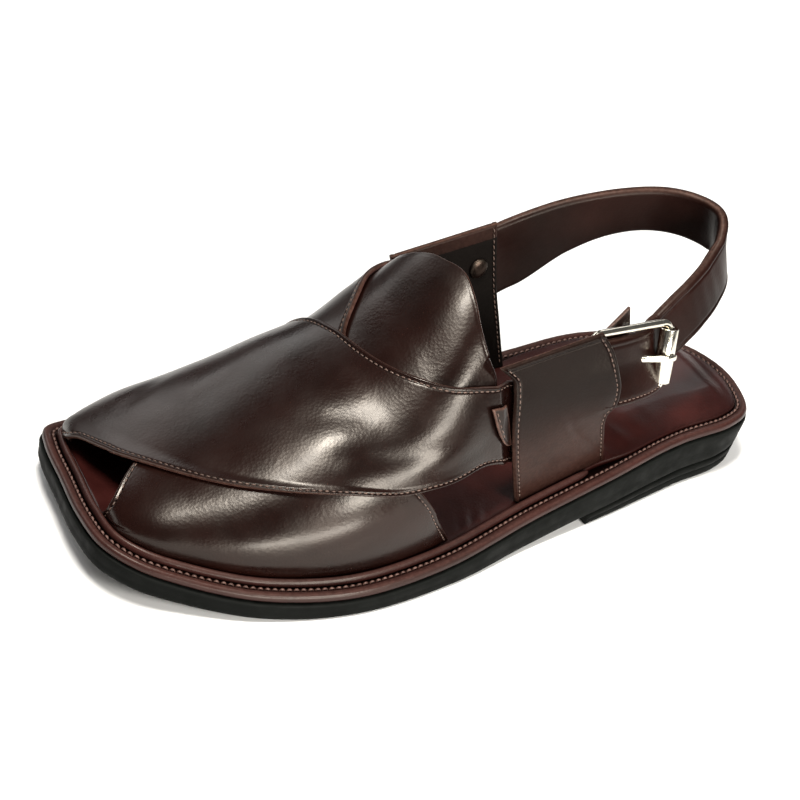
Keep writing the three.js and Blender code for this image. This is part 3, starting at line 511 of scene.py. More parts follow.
class StitchRow:
    """Rows of stitches laid along lines on a surface."""

    def __init__(self, name: str, style: StitchStyle) -> None:
        """Starts with no stitches."""
        self.piece = Piece(name)
        self.style = style

    def lay(self, line: Array, normal: Array) -> None:
        """Lays stitches at an even pitch along a line.

        Each stitch is a grid of 7 rings of 6 points: a thread of oval section that dives in at both ends.

        Args:
            line: the line's points.
            normal: the surface's direction outwards at each.
        """
        style = self.style
        lengths = lengths_along(line)
        count = max(1, int(lengths[-1] / style.pitch))
        starts = (np.arange(count) + 0.5) * lengths[-1] / count
        share = np.linspace(-0.5, 0.5, 7)
        at = starts[:, None] + share[None] * style.length
        centre = np.stack([np.interp(at, lengths, line[:, k]) for k in range(3)], -1)
        out = unit(np.stack([np.interp(at, lengths, normal[:, k]) for k in range(3)], -1))
        along = unit(np.gradient(centre, axis=1))
        across = unit(np.cross(along, out))
        arch = np.sqrt(np.maximum(0.0, 1 - (2 * share) ** 2))
        slim = 0.25 + 0.75 * arch
        turn = circle(6)
        lift = (style.proud * (2.1 * arch - 1.1))[None, :, None, None]
        wide = (style.width / 2 * slim)[None, :, None, None] * np.cos(turn)[None, None, :, None]
        high = (style.width * 0.38 * slim)[None, :, None, None] * np.sin(turn)[None, None, :, None]
        rings = centre[:, :, None] + across[:, :, None] * wide + out[:, :, None] * (lift + high)
        tips = [np.repeat(ring.mean(2, keepdims=True), 6, 2) for ring in (rings[:, :1], rings[:, -1:])]
        for stitch in np.concatenate([tips[0], rings, tips[1]], 1):
            self.piece.grid(stitch, wrap=True)

    def finish(self, slot: Slot, material: bpy.types.Material) -> None:
        """Puts the stitches into the scene."""
        self.piece.finish(slot, [material])


Place = Callable[[Array, Array, Array], Array]


class Sheet:
    """A sheet of leather with rounded edges, laid on a surface.

    place(a, b, height) gives a point at share a along the sheet, share b across it and a height over its
    inner face. Near an edge, at a distance d within the rounding r, both faces close to the middle by
    sqrt(1 - (1 - d / r)^2).
    """

    def __init__(self, place: Place, thickness: float, along: Array, middle_steps: int = 60,
                 fine: float = 3.4, close: tuple[bool, bool] = (False, False)) -> None:
        """Works out where the columns of points lie across the sheet.

        Args:
            place: the surface.
            thickness: the leather's thickness.
            along: the shares along the sheet.
            middle_steps: columns between the two finely stepped margins.
            fine: the width of the finely stepped margins.
            close: whether the start and the end along the sheet are rounded too.
        """
        self.place, self.thickness, self.close = place, thickness, close
        self.rounding = thickness / 2
        turn = np.linspace(0, np.pi / 2, 6)
        rounded = self.rounding * (1 - np.cos(turn))
        margin = np.concatenate([rounded, np.arange(self.rounding + 0.3, fine, 0.3)])
        table = np.linspace(0, 1, 121)
        probe = place(along[:, None], table[None], np.full((1, 1), thickness))
        arc = lengths_along(probe)
        self.width = arc[:, -1]
        middle = np.linspace(0, 1, middle_steps + 2)[1:-1]
        narrow = 2.4 * fine
        wanted = []
        for width in self.width:
            edge = margin * min(1, width / narrow)
            inner = mix(edge[-1], width - edge[-1], middle)
            wanted.append(np.concatenate([edge, inner, width - edge[::-1]]))
        self.arc = np.array(wanted)
        self.table, self.arc_table = table, arc
        self.b = np.array([np.interp(s, row, table) for s, row in zip(self.arc, arc)])
        self.a = np.broadcast_to(along[:, None], self.b.shape)
        self.front = self.arc
        self.rear = self.width[:, None] - self.arc
        centre = place(along, np.full(len(along), 0.5), np.full(len(along), thickness / 2))
        run = lengths_along(centre)
        self.start = np.broadcast_to(run[:, None], self.b.shape)
        self.end = np.broadcast_to((run[-1] - run)[:, None], self.b.shape)

    def edge(self) -> Array:
        """The distance of each point to the nearest shaped edge."""
        nearest = np.minimum(self.front, self.rear)
        if self.close[0]:
            nearest = np.minimum(nearest, self.start)
        if self.close[1]:
            nearest = np.minimum(nearest, self.end)
        return nearest

    def build(self, name: str, relief: Array, dark: Array | float = 0.0, rub: Optional[Array] = None,
              inner_slot: int = 0, collar: float = 0.0) -> Piece:
        """Makes the sheet's two faces, which meet at its edges.

        Args:
            name: the piece's name.
            relief: an added height of the outer face, in millimetres.
            dark: the outer face's painted shade.
            rub: how rubbed the outer face is, and where painted sheen lightens it; by default its edges
                alone.
            inner_slot: the inner face's material.
            collar: how far the outer leather is turned over the end's inner face, in millimetres.

        Returns:
            The piece, not yet in the scene.
        """
        nearest = self.edge()
        share = np.clip(nearest / self.rounding, 0, 1)
        round_off = np.sqrt(np.clip(1 - (1 - share) ** 2, 0, 1))
        half, worn = self.thickness / 2, bell(nearest, 0.4) * 0.6
        self.outer_height = half + half * round_off + relief * round_off
        outer = self.place(self.a, self.b, self.outer_height)
        inner = self.place(self.a, self.b, half - half * round_off)
        piece = Piece(name)
        piece.grid(outer, rub=worn if rub is None else rub, dark=dark)
        turned = int(np.argmin(np.abs(self.end[:, 0] - collar))) if collar else len(inner) - 1
        piece.grid(inner[:turned + 1, ::-1], slot=inner_slot, rub=worn[:turned + 1, ::-1])
        if collar:
            # painted sheen lightens the whole turned band a little
            piece.grid(inner[turned:, ::-1], rub=np.maximum(worn[turned:, ::-1], 0.1))
        for row in (0, -1):
            piece.grid(np.stack([outer[row], inner[row]]), slot=inner_slot)
        return piece

    def line(self, distance: float, from_front: bool = True,
             rows: slice = slice(None)) -> tuple[Array, Array]:
        """A line at a distance inside an edge, on the outer face, with its direction outwards.

        Args:
            distance: how far inside the edge, in millimetres.
            from_front: whether the edge is the front one.
            rows: the rows along the sheet that it covers.

        Returns:
            The line's points and normals.
        """
        targets = np.where(from_front, distance, self.width - distance)
        b = np.array([np.interp(t, row, self.table) for t, row in zip(targets, self.arc_table)])
        a = self.a[:, 0]
        top = np.array([np.interp(t, s, h) for t, s, h in zip(targets, self.arc, self.outer_height)])
        outer = self.place(a, b, top)
        inner = self.place(a, b, np.zeros_like(b))
        return outer[rows], unit(outer - inner)[rows]


# ---------------------------------------------------------------- the sole and the last


@dataclass(frozen=True)
class Crease:
    """A fold line on a strap: two ends in (u, degrees), its width and depth in millimetres."""

    start: tuple[float, float]
    end: tuple[float, float]
    width: float
    depth: float


@dataclass
class Footprint:
    """The sole's outline and heights, in millimetres."""

    length: float = 290.0
    ball: float = 116.0
    heel_height: float = 21.0
    toe_rise: float = 17.8
    forefoot: float = 6.4
    breast: float = 4.4
    breast_at: float = 50.0
    undercut: float = 3.0
    window: float = 11.0
    rows: tuple[tuple[float, float], ...] = (
        (-0.496, -0.04), (-0.491, -0.19), (-0.462, -0.298), (-0.41, -0.388), (-0.331, -0.488),
        (-0.207, -0.56), (-0.069, -0.539), (0.069, -0.466), (0.207, -0.41), (0.338, -0.349),
        (0.428, -0.328), (0.472, -0.276),
        (0.495, -0.155), (0.5, -0.03), (0.482, 0.11), (0.438, 0.225), (0.345, 0.31), (0.207, 0.325),
        (0.069, 0.345), (-0.069, 0.39), (-0.207, 0.425), (-0.293, 0.455), (-0.372, 0.468), (-0.432, 0.438),
        (-0.466, 0.395), (-0.479, 0.31), (-0.488, 0.14))
    heel_row: int = 13

    def __post_init__(self) -> None:
        """Measures the outline and lays the height curves."""
        spline = Spline(np.array(self.rows) * [self.length, self.ball], True)
        shares = np.linspace(0, 1, 1201)
        points = spline(shares)
        lengths = lengths_along(points)
        self.perimeter = lengths[-1]
        self.heel_share = lengths[round(1200 * self.heel_row / len(self.rows))] / self.perimeter
        self._at = lambda s: spline(np.interp((s % 1.0) * self.perimeter, lengths, shares))
        toe, heel = self.toe_rise - self.forefoot, self.heel_height - self.forefoot
        top = ((-0.5, 1, 0), (-0.44, 0.6, 0), (-0.38, 0.3, 0), (-0.3, 0.07, 0), (-0.22, 0, 0),
               (-0.1, 0, 0.06), (0, 0, 0.24), (0.1, 0, 0.46), (0.2, 0, 0.7), (0.32, 0, 0.94),
               (0.42, 0, 1), (0.5, 0, 1))
        self.top = Curve([row[0] * self.length for row in top],
                         [self.forefoot + row[1] * toe + row[2] * heel for row in top])
        bottom = ((-0.5, 0.82, 0), (-0.44, 0.5, 0), (-0.38, 0.26, 0), (-0.31, 0.06, 0), (-0.26, 0, 0),
                  (-0.05, 0, 0), (0.05, 0, 0.25), (self.breast_at / self.length, 0, 1), (0.4, 0, 1.8),
                  (0.5, 0, 1.9))
        self.bottom = Curve([row[0] * self.length for row in bottom],
                            [row[1] * toe + row[2] * self.breast for row in bottom])

    def point(self, side: Array | int, share: Array, inset: Array | float) -> Array:
        """A point of the outline moved inwards along its normal.

        Args:
            side: -1 for the lateral side, 1 for the medial one.
            share: the way from the toe to the heel.
            inset: the move inwards.

        Returns:
            The points' x and y.
        """
        at = np.where(np.asarray(side) < 0, share * self.heel_share, 1 - share * (1 - self.heel_share))
        here, window = self._at(at), self.window / self.perimeter
        ahead = unit(self._at(at + window) - self._at(at - window))
        return here + np.stack([-ahead[..., 1], ahead[..., 0]], -1) * np.asarray(inset)[..., None]

    def steps(self, count: int) -> Array:
        """Shares from toe to heel that lie closer together at both."""
        even = np.linspace(0, 1, count + 1)
        return 0.62 * even + 0.38 * (1 - np.cos(np.pi * even)) / 2

    def ring(self, inset: float, count: int) -> Array:
        """A loop round the outline, lateral side first.

        Args:
            inset: the move inwards.
            count: the steps on each side.

        Returns:
            The loop's x and y.
        """
        shares = self.steps(count)
        return np.concatenate([self.point(-1, shares[:-1], inset), self.point(1, shares[:0:-1], inset)])

    def tapered(self, points: Array) -> Array:
        """Points drawn in towards the heel's middle, more the lower they are."""
        share = smoothstep(0.3 * self.length, 0.47 * self.length, points[..., 0])
        middle = points * [0.0, 0.0, 1.0] + [0.25 * self.length, 0.0, 0.0]
        inwards = unit(middle - points)
        return points + inwards * (share * self.undercut * (1 - points[..., 2] / self.heel_height))[..., None]


def lidded(piece: Piece, loop: Array, height: Lid, columns: int, **marks: object) -> None:
    """Closes a loop with a lid of rungs from its lateral to its medial side.

    Args:
        piece: the piece that gets the lid.
        loop: the loop's points, lateral side first.
        height: the lid's z by x, y and the share across.
        columns: the steps across a rung.
        marks: the grid's slot and marks.
    """
    count = len(loop)
    left = loop[: count // 2 + 1]
    right = np.concatenate([loop[:1], loop[:count // 2 - 1:-1]])
    share = np.linspace(0, 1, columns + 1)
    rungs = mix(left[:, None], right[:, None], share[None, :, None])
    inner = height(rungs[..., 0], rungs[..., 1], np.broadcast_to(share, rungs.shape[:2]))
    keep = (share == 0) | (share == 1)
    rungs[..., 2] = np.where(keep[None], rungs[..., 2], inner)
    piece.grid(rungs, **marks)


@dataclass
class Sole:
    """The black rubber sole, the leather rim and the insole."""

    foot: Footprint
    finishes: Finishes
    steps: int = 190
    ledge: float = 0.8
    ridge_width: float = 2.9
    crest: float = 3.6
    trough: float = 2.85
    groove_width: float = 1.8
    board: float = 2.0
    piping_width: float = 2.4
    welt_height: float = 3.5
    piping_reach: float = 0.66
    insole_thickness: float = 2.0
    pad_rise: float = 3.2
    pad_span: tuple[float, float] = (0.16, 0.47)
    pad_slope: float = 30.0
    pad_end: float = 12.0

    def __post_init__(self) -> None:
        """Works out the insets of the rim's parts."""
        self.groove_start = self.ledge + self.ridge_width
        self.piping_start = self.groove_start + self.groove_width
        self.piping_centre = self.piping_start + 0.4 + CLEARANCE + self.piping_width / 2
        self.foot_inset = self.piping_centre + self.piping_width / 2 + CLEARANCE
        self.heel_inset = self.piping_start + 0.4 + CLEARANCE

    def rim_base(self, x: Array) -> Array:
        """The rim's underside."""
        return self.foot.top(x) + CLEARANCE

    def seat(self, x: Array) -> Array:
        """The board's top, under the piping and the insole."""
        return self.rim_base(x) + self.board

    def insole_top(self, x: Array) -> Array:
        """The insole's top without its pad."""
        return self.seat(x) + CLEARANCE + self.insole_thickness

    def at_height(self, inset: float, height: Height) -> Array:
        """A loop at an inset, with its z from a height of x."""
        loop = self.foot.ring(inset, self.steps)
        return np.column_stack([loop, height(loop[:, 0])])

    def rubber(self) -> None:
        """Makes the outsole: rounded lower edge, faint wall lines, and a lid each way."""
        foot, piece = self.foot, Piece("outsole_rubber")
        profile = np.array([(1.0, 0.0, 0.5), (0.55, 0.02, 0.6), (0.2, 0.07, 0.5), (0, 0.16, 0.2), (0, 0.3, 0),
                            (0.12, 0.42, 0.1), (0.14, 0.47, 0.1), (0, 0.6, 0), (0, 0.8, 0), (0.05, 0.9, 0.2),
                            (0.3, 0.97, 0.6), (0.7, 1.0, 0.4)])
        rows = []
        for inset, share, _ in profile:
            loop = foot.ring(inset, self.steps)
            low, high = foot.bottom(loop[:, 0]), foot.top(loop[:, 0])
            rows.append(foot.tapered(np.column_stack([loop, mix(low, high, share)])))
        piece.grid(np.stack(rows), wrap=True, rub=profile[:, 2:])
        lidded(piece, rows[0], lambda x, y, s: foot.bottom(x), 24, rub=0.3)
        lidded(piece, rows[-1], lambda x, y, s: foot.top(x), 8)
        piece.finish(Slot.RUBBER, [self.finishes.rubber], "outsole")

    def heel(self) -> None:
        """Makes the heel lift: the outline behind the breast, with two layers and a worn rear edge."""
        foot, piece = self.foot, Piece("heel_lift")
        trial = np.linspace(0.4, 1, 3001)
        start = float(np.interp(foot.breast_at, foot.point(-1, trial, 0.0)[:, 0], trial))
        shares = mix(start, 1.0, np.linspace(0, 1, 61))
        profile = np.array([(1.1, 0, 0.8), (0.5, 0.03, 0.7), (0.1, 0.1, 0.4), (0, 0.2, 0.1), (0, 0.52, 0),
                            (0.3, 0.55, 0.3), (0.3, 0.57, 0.3), (0, 0.6, 0), (0, 1, 0)])
        loops = []
        for inset, share, _ in profile:
            sides = [foot.point(side, part, inset) for side, part in ((-1, shares[:-1]), (1, shares[::-1]))]
            loop = np.concatenate(sides)
            loop[0, 0] = loop[-1, 0] = foot.breast_at
            top = foot.bottom(loop[:, 0]) - CLEARANCE
            loops.append(foot.tapered(np.column_stack([loop, share * top])))
        piece.grid(np.stack(loops), wrap=True, rub=profile[:, 2:])
        for loop, rub in ((loops[0], 0.5), (loops[-1], 0.0)):
            half = len(shares)
            rungs = mix(loop[:half][:, None], loop[::-1][:half][:, None], np.linspace(0, 1, 9)[None, :, None])
            piece.grid(rungs, rub=rub)
        piece.finish(Slot.RUBBER, [self.finishes.rubber], "heel")

    def rim(self) -> None:
        """Makes the leather-covered board: a round ridge, a stitched groove and a flat seat."""
        edge, crest, trough = self.ledge, self.crest, self.trough
        profile = Spline([
            (edge + 1.3, 0), (edge + 0.3, 0.6), (edge, 1.6), (edge + 0.3, 2.8), (edge + 1.1, crest - 0.05),
            (edge + 2.1, crest), (edge + 3.0, crest - 0.4), (edge + 3.7, trough),
            (self.piping_start + 0.3, trough - 0.05)])(np.linspace(0, 1, 38))
        # painted shade: darker in the groove past the ridge, at the rim's foot and on the seat under the welt
        piece, loops, darks = Piece("rim_leather"), [], []
        for inset, rise in profile:
            loops.append(self.at_height(inset, lambda x, r=rise: self.rim_base(x) + r))
            darks.append(0.8 * float(smoothstep(edge + 2.9, edge + 3.8, inset)) + 0.7 * bell(rise, 0.8))
        loops.append(self.at_height(self.piping_start + 0.4, self.seat))
        darks.append(1.0)
        count = np.arange(2 * self.steps)
        ruck = 0.05 * np.sin(count * 1.9) * np.sin(count * 0.37)
        below = np.append(profile[:, 1] - crest, np.inf)[:, None]
        wall = np.stack(loops)
        wall[..., 2] += ruck[None] * bell(below, 1.2)
        piece.grid(wall, wrap=True, dark=np.array(darks)[:, None], rub=0.35 * bell(below, 0.4))
        lidded(piece, loops[0], lambda x, y, s: self.rim_base(x), 6)
        lidded(piece, loops[-1], lambda x, y, s: self.seat(x), 6, dark=0.8)
        piece.finish(Slot.RIM, [self.finishes.rim], "midsole")

    def piping(self) -> None:
        """Makes the inner welt: an oval tube from waist to waist round the toe."""
        steps = np.linspace(-1, 1, 420)
        share = np.abs(steps) * self.piping_reach
        side = np.where(steps < 0, -1, 1)
        path = self.foot.point(side, share, self.piping_centre)
        edge = self.foot.point(side, share, 0.0)
        z = self.seat(path[:, 0]) + CLEARANCE + self.welt_height / 2
        out = unit(np.column_stack([edge - path, np.zeros(len(path))]))
        line = np.column_stack([path, z])
        grid = tube(line, out, upwards(len(path)), (1.3, self.welt_height / 2), 18)
        count = np.arange(len(steps))
        ends = np.clip(np.minimum(count, count[::-1]) / 6, 0, 1)
        grid = mix(line[:, None], grid, np.sqrt(1 - (1 - ends) ** 2)[:, None, None])
        level = np.sin(circle(18))[None]
        piece = Piece("inner_welt")
        # painted shade darkens the welt's underside; its top is made lighter
        piece.grid(grid, wrap=True, rub=0.3 * np.clip(level, 0, 1) ** 3, dark=0.8 * np.clip(-level, 0, 1))
        piece.finish(Slot.RIM, [self.finishes.rim], "piping")

    def pad(self, x: Array, y: Array, across: Array) -> Array:
        """The heel pad's rise, with puckers ahead of it and soft waves in the leather."""
        start, end = (share * self.foot.length for share in self.pad_span)
        along = smoothstep(start, start + self.pad_slope, x) * (1 - smoothstep(end - self.pad_end, end, x))
        pad = self.pad_rise * along * np.minimum(1, 4 * across * (1 - across) * 1.4)
        waves = 0.16 * np.sin(x / 7.3 + np.sin(y / 9.0) * 1.3) * np.sin(y / 11.0 + x / 31.0)
        puckers = 0.5 * bell(x - 66, 13) * bell(across - 0.14, 0.13) * np.sin(x / 1.9 + across * 14)
        puckers = puckers + 0.4 * bell(x + 3, 6) * bell(y + 47, 5) * np.sin(x * 1.7 + y * 0.8)
        return pad + waves * np.minimum(1, 8 * across * (1 - across)) + puckers

    def insole(self) -> None:
        """Makes the insole: inside the welt at the forepart, out to the ridge at the heel, padded there."""
        shares = self.foot.steps(self.steps)
        local = np.concatenate([shares[:-1], shares[:0:-1]])
        wide = smoothstep(self.piping_reach + 0.01, self.piping_reach + 0.07, local)[:, None]

        def loop(extra: float, drop: float) -> Array:
            """A loop of the insole, inside its edge by extra and below its top by drop."""
            flat = mix(self.foot.ring(self.foot_inset + extra, self.steps),
                       self.foot.ring(self.heel_inset + extra, self.steps), wide)
            return np.column_stack([flat, self.insole_top(flat[:, 0]) - drop])

        edge = ((0, self.insole_thickness), (0, 1.0), (0.08, 0.5), (0.3, 0.16), (0.8, 0.0))
        loops = [loop(*row) for row in edge]
        piece = Piece("insole_leather")
        # painted shade on the edge wall, the underside and along both edges of the top, beside the upper
        piece.grid(np.stack(loops), wrap=True, dark=0.6)
        lidded(piece, loops[0], lambda x, y, s: self.seat(x) + CLEARANCE, 6, dark=0.5)
        count, columns = len(loops[-1]), 72
        across = np.linspace(0, 1, columns + 1)
        fade = np.minimum(1, np.minimum(across, 1 - across) * 14)
        lidded(piece, loops[-1], lambda x, y, s: self.insole_top(x) + self.pad(x, y, s), columns,
               dark=np.tile(0.35 * (1 - fade), (count // 2 + 1, 1)))
        piece.finish(Slot.INSOLE, [self.finishes.insole], "insole")

    def stitches(self) -> None:
        """Sews the rim's groove all round."""
        row = StitchRow("rim_stitches", StitchStyle(pitch=2.6, length=2.15, width=1.0, proud=0.4))
        loop = self.foot.ring(self.ledge + 4.05, 700)
        line = np.column_stack([loop, self.rim_base(loop[:, 0]) + self.trough + 0.12])
        line = np.concatenate([line, line[:1]])
        row.lay(line, upwards(len(line)))
        row.finish(Slot.RIM, self.finishes.rim_thread)


@dataclass
class Quarter:
    """One of the two upright ears at the instep; shares are of the sole's length and the ear's height."""

    side: Side
    foot: Footprint
    sole: Sole
    top_half: float
    rows: tuple[tuple[float, float, float, float, float], ...]
    leather: float = 2.4
    front_top: float = 76.0
    rear_top: float = 83.5
    rear_at: float = 43.0
    room: float = 1.7
    slack: float = 0.6

    def __post_init__(self) -> None:
        """Lays the curves of its table: rise, front, rear, lean, flare."""
        columns = np.array(self.rows).T
        self.front, self.rear, self.lean, self.flare = (Curve(columns[0], column) for column in columns[1:])
        trial = 0.2 + np.arange(41) * 0.0175
        line = self.foot.point(self.side.value, trial, self.sole.foot_inset + CLEARANCE)
        self.foot_line = Curve(line[:, 0], line[:, 1])

    def low(self, x: Array) -> Array:
        """The lower edge's height."""
        return self.sole.insole_top(x) + CLEARANCE

    def high(self, x: Array) -> Array:
        """The upper edge's height."""
        return self.front_top + (self.rear_top - self.front_top) * np.asarray(x) / self.rear_at

    def rise(self, x: Array, z: Array) -> Array:
        """The share of the height at a place."""
        return (z - self.low(x)) / (self.high(x) - self.low(x))

    def face(self, x: Array, rise: Array) -> Array:
        """The outer face's y."""
        front, rear = self.front(rise) * self.foot.length, self.rear(rise) * self.foot.length
        along = np.clip((x - front) / (rear - front), 0, 1)
        upright = mix(self.foot_line(x), self.side.value * self.top_half, self.lean(rise))
        return upright + self.side.value * self.flare(rise) * self.top_half * along ** 2

    def place(self, a: Array, b: Array, height: Array) -> Array:
        """A point at share a of the height and share b from front to rear, over the inner face."""
        a, b, height = np.broadcast_arrays(a, b, height)
        x = mix(self.front(a), self.rear(a), b) * self.foot.length
        y = self.face(x, a) - self.side.value * (self.leather - height)
        return np.stack([x, y, mix(self.low(x), self.high(x), a)], -1)

    def hold(self, points: Array, depth: Array) -> Array:
        """Keeps points inside of the inner face by a depth, and lets them go in front of the ear."""
        rise = np.clip(self.rise(points[..., 0], points[..., 2]), 0, 1)
        ahead = np.maximum(0, self.front(rise) * self.foot.length - CLEARANCE - points[..., 0])
        face = np.abs(self.face(points[..., 0], rise))
        limit = face - self.leather - self.room - depth + ahead * self.slack
        out = points[..., 1] * self.side.value
        held = points.copy()
        held[..., 1] = np.where(out > limit, limit * self.side.value, points[..., 1])
        return held


class Last:
    """The form under the straps: u runs from toe to instep, the angle from lateral to medial."""

    ROWS = ((0, 0.05, 0.44, 0, 2.2), (0.1, 0.15, 0.5, 0.01, 2.3), (0.2, 0.29, 0.54, 0.02, 2.3),
            (0.3, 0.43, 0.56, 0.03, 2.25), (0.4, 0.58, 0.58, 0.04, 2.2), (0.5, 0.72, 0.6, 0.06, 2.2),
            (0.6, 0.82, 0.6, 0.08, 2.2), (0.7, 1.03, 0.6, 0.1, 2.25), (0.8, 1.24, 0.6, 0.12, 2.35),
            (0.9, 1.36, 0.58, 0.12, 2.4), (1.2, 1.54, 0.55, 0.12, 2.6))

    def __init__(self, sole: Sole, lateral: Quarter, medial: Quarter, instep: float = 66.0,
                 leather: float = 1.9) -> None:
        """Lays the section curves."""
        columns = np.array(self.ROWS).T
        self.height, self.crown, self.lean, self.full = (Curve(columns[0], column) for column in columns[1:])
        self.sole, self.lateral, self.medial = sole, lateral, medial
        self.instep, self.leather = instep, leather
        self.over_lift = leather - 0.4
        self.inset = sole.foot_inset + CLEARANCE + leather

    def foot_line(self, side: int, u: Array) -> Array:
        """The point where the straps meet the insole."""
        toe = 0.005 if side < 0 else 0.12
        tuck = (self.lateral.leather + 2 * CLEARANCE) * smoothstep(0.68, 0.82, u)
        return self.sole.foot.point(side, toe + (0.62 - toe) * u, self.inset + tuck)

    def base(self, u: Array, angle: Array) -> Array:
        """The last's own surface: a superellipse section between the two foot lines."""
        belly = math.radians(16)
        turn = angle / 180 * (np.pi + 2 * belly) - belly
        power = 2 / self.full(u)
        cosine, sine, crown = np.cos(turn), np.sin(turn), self.crown(u)
        half = np.where(cosine > 0, crown, 1 - crown)
        across = crown - np.sign(cosine) * half * np.abs(cosine) ** power / math.cos(belly) ** power
        flat = mix(self.foot_line(-1, u), self.foot_line(1, u), across[..., None])
        dip = math.sin(belly) ** power
        rise = (np.sign(sine) * np.abs(sine) ** power + dip) / (1 + dip)
        y = flat[..., 1] + self.lean(u) * self.instep * np.maximum(0, rise)
        z = self.sole.insole_top(flat[..., 0]) + CLEARANCE + self.height(u) * self.instep * rise
        return np.stack([flat[..., 0], y, z], -1)

    def __call__(self, u: Array, angle: Array, offset: Array) -> Array:
        """A point off the last by an offset along its normal, over the insole and inside the quarters."""
        u, angle, offset = np.broadcast_arrays(*(np.asarray(v, float) for v in (u, angle, offset)))
        point = self.base(u, angle)
        along = self.base(u + 0.004, angle) - self.base(u - 0.004, angle)
        around = self.base(u, np.minimum(180, angle + 0.5)) - self.base(u, np.maximum(0, angle - 0.5))
        moved = point + unit(np.cross(along, around)) * offset[..., None]
        low = np.clip(np.minimum(angle, 180 - angle) / 12, 0, 1)
        moved[..., 2] = mix(point[..., 2], moved[..., 2], low)
        moved[..., 2] = np.maximum(moved[..., 2], self.sole.insole_top(moved[..., 0]) + CLEARANCE)
        near = self.lateral.hold(moved, self.over_lift + self.leather - offset)
        far = self.medial.hold(moved, self.leather - offset)
        return np.where(moved[..., 1:2] < 0, near, far)


def edge_curve(rows: Rows) -> Callable[[Array], tuple[Array, Array]]:
    """An edge through rows of u and angle, as a function of the share along it."""
    spline = Spline([(u, angle / 100, 0.0) for u, angle in rows])

    def at(share: Array) -> tuple[Array, Array]:
        """The edge's u and angle."""
        points = spline(share)
        return points[..., 0], np.clip(points[..., 1] * 100, 0, 180)

    return at


class Strap:
    """A strap on the last between two edges, over an inner offset."""

    def __init__(self, last: Last, front: Rows, rear: Rows, low: Lid, creases: Sequence[Crease] = ()) -> None:
        """Keeps the edges, the inner offset and the creases."""
        self.last, self.low, self.creases = last, low, creases
        self.front, self.rear = edge_curve(front), edge_curve(rear)

    def where(self, a: Array, b: Array) -> tuple[Array, Array]:
        """The u and angle at shares along and across the strap."""
        (u0, g0), (u1, g1) = self.front(a), self.rear(a)
        return mix(u0, u1, b), mix(g0, g1, b)

    def place(self, a: Array, b: Array, height: Array) -> Array:
        """A point of the strap, a height over its inner face."""
        a, b, height = np.broadcast_arrays(a, b, height)
        u, angle = self.where(a, b)
        return self.last(u, angle, self.low(u, angle, b) + height)

    def folds(self, sheet: Sheet) -> Array:
        """The creases' relief: each is a valley between two soft shoulders along a line.

        The distance to the line is measured with 180 mm for a u of 1 and 1 mm for a degree.
        """
        u, angle = self.where(sheet.a, sheet.b)
        total = np.zeros_like(u)
        for crease in self.creases:
            start = np.array([crease.start[0] * 180, crease.start[1]])
            run = np.array([crease.end[0] * 180, crease.end[1]]) - start
            share = np.clip(((u * 180 - start[0]) * run[0] + (angle - start[1]) * run[1]) / (run @ run), 0, 1)
            off = np.hypot(u * 180 - start[0] - share * run[0], angle - start[1] - share * run[1])
            fade = np.sqrt(np.clip(4 * share * (1 - share) + 0.05, 0, 1))
            total += crease.depth * fade * (0.5 * bell(off, crease.width * 2.6) - bell(off, crease.width))
        return total


def fold_relief(sheet: Sheet) -> Array:
    """Two folded edges: a full roll along each and a fine trough where the stitches pull the leather down."""
    sides = (sheet.front, sheet.rear)
    rolls = [0.28 * bell(side - ROLL, ROLL) - 0.3 * bell(side - SEAM, 0.5) for side in sides]
    return rolls[0] + rolls[1]


def painted_stitch_shade(sheet: Sheet) -> Array:
    """The painted shade along a row of stitches, in the trough where the stitches pull the leather down."""
    return 0.75 * np.maximum(bell(sheet.front - SEAM, 0.42), bell(sheet.rear - SEAM, 0.42))


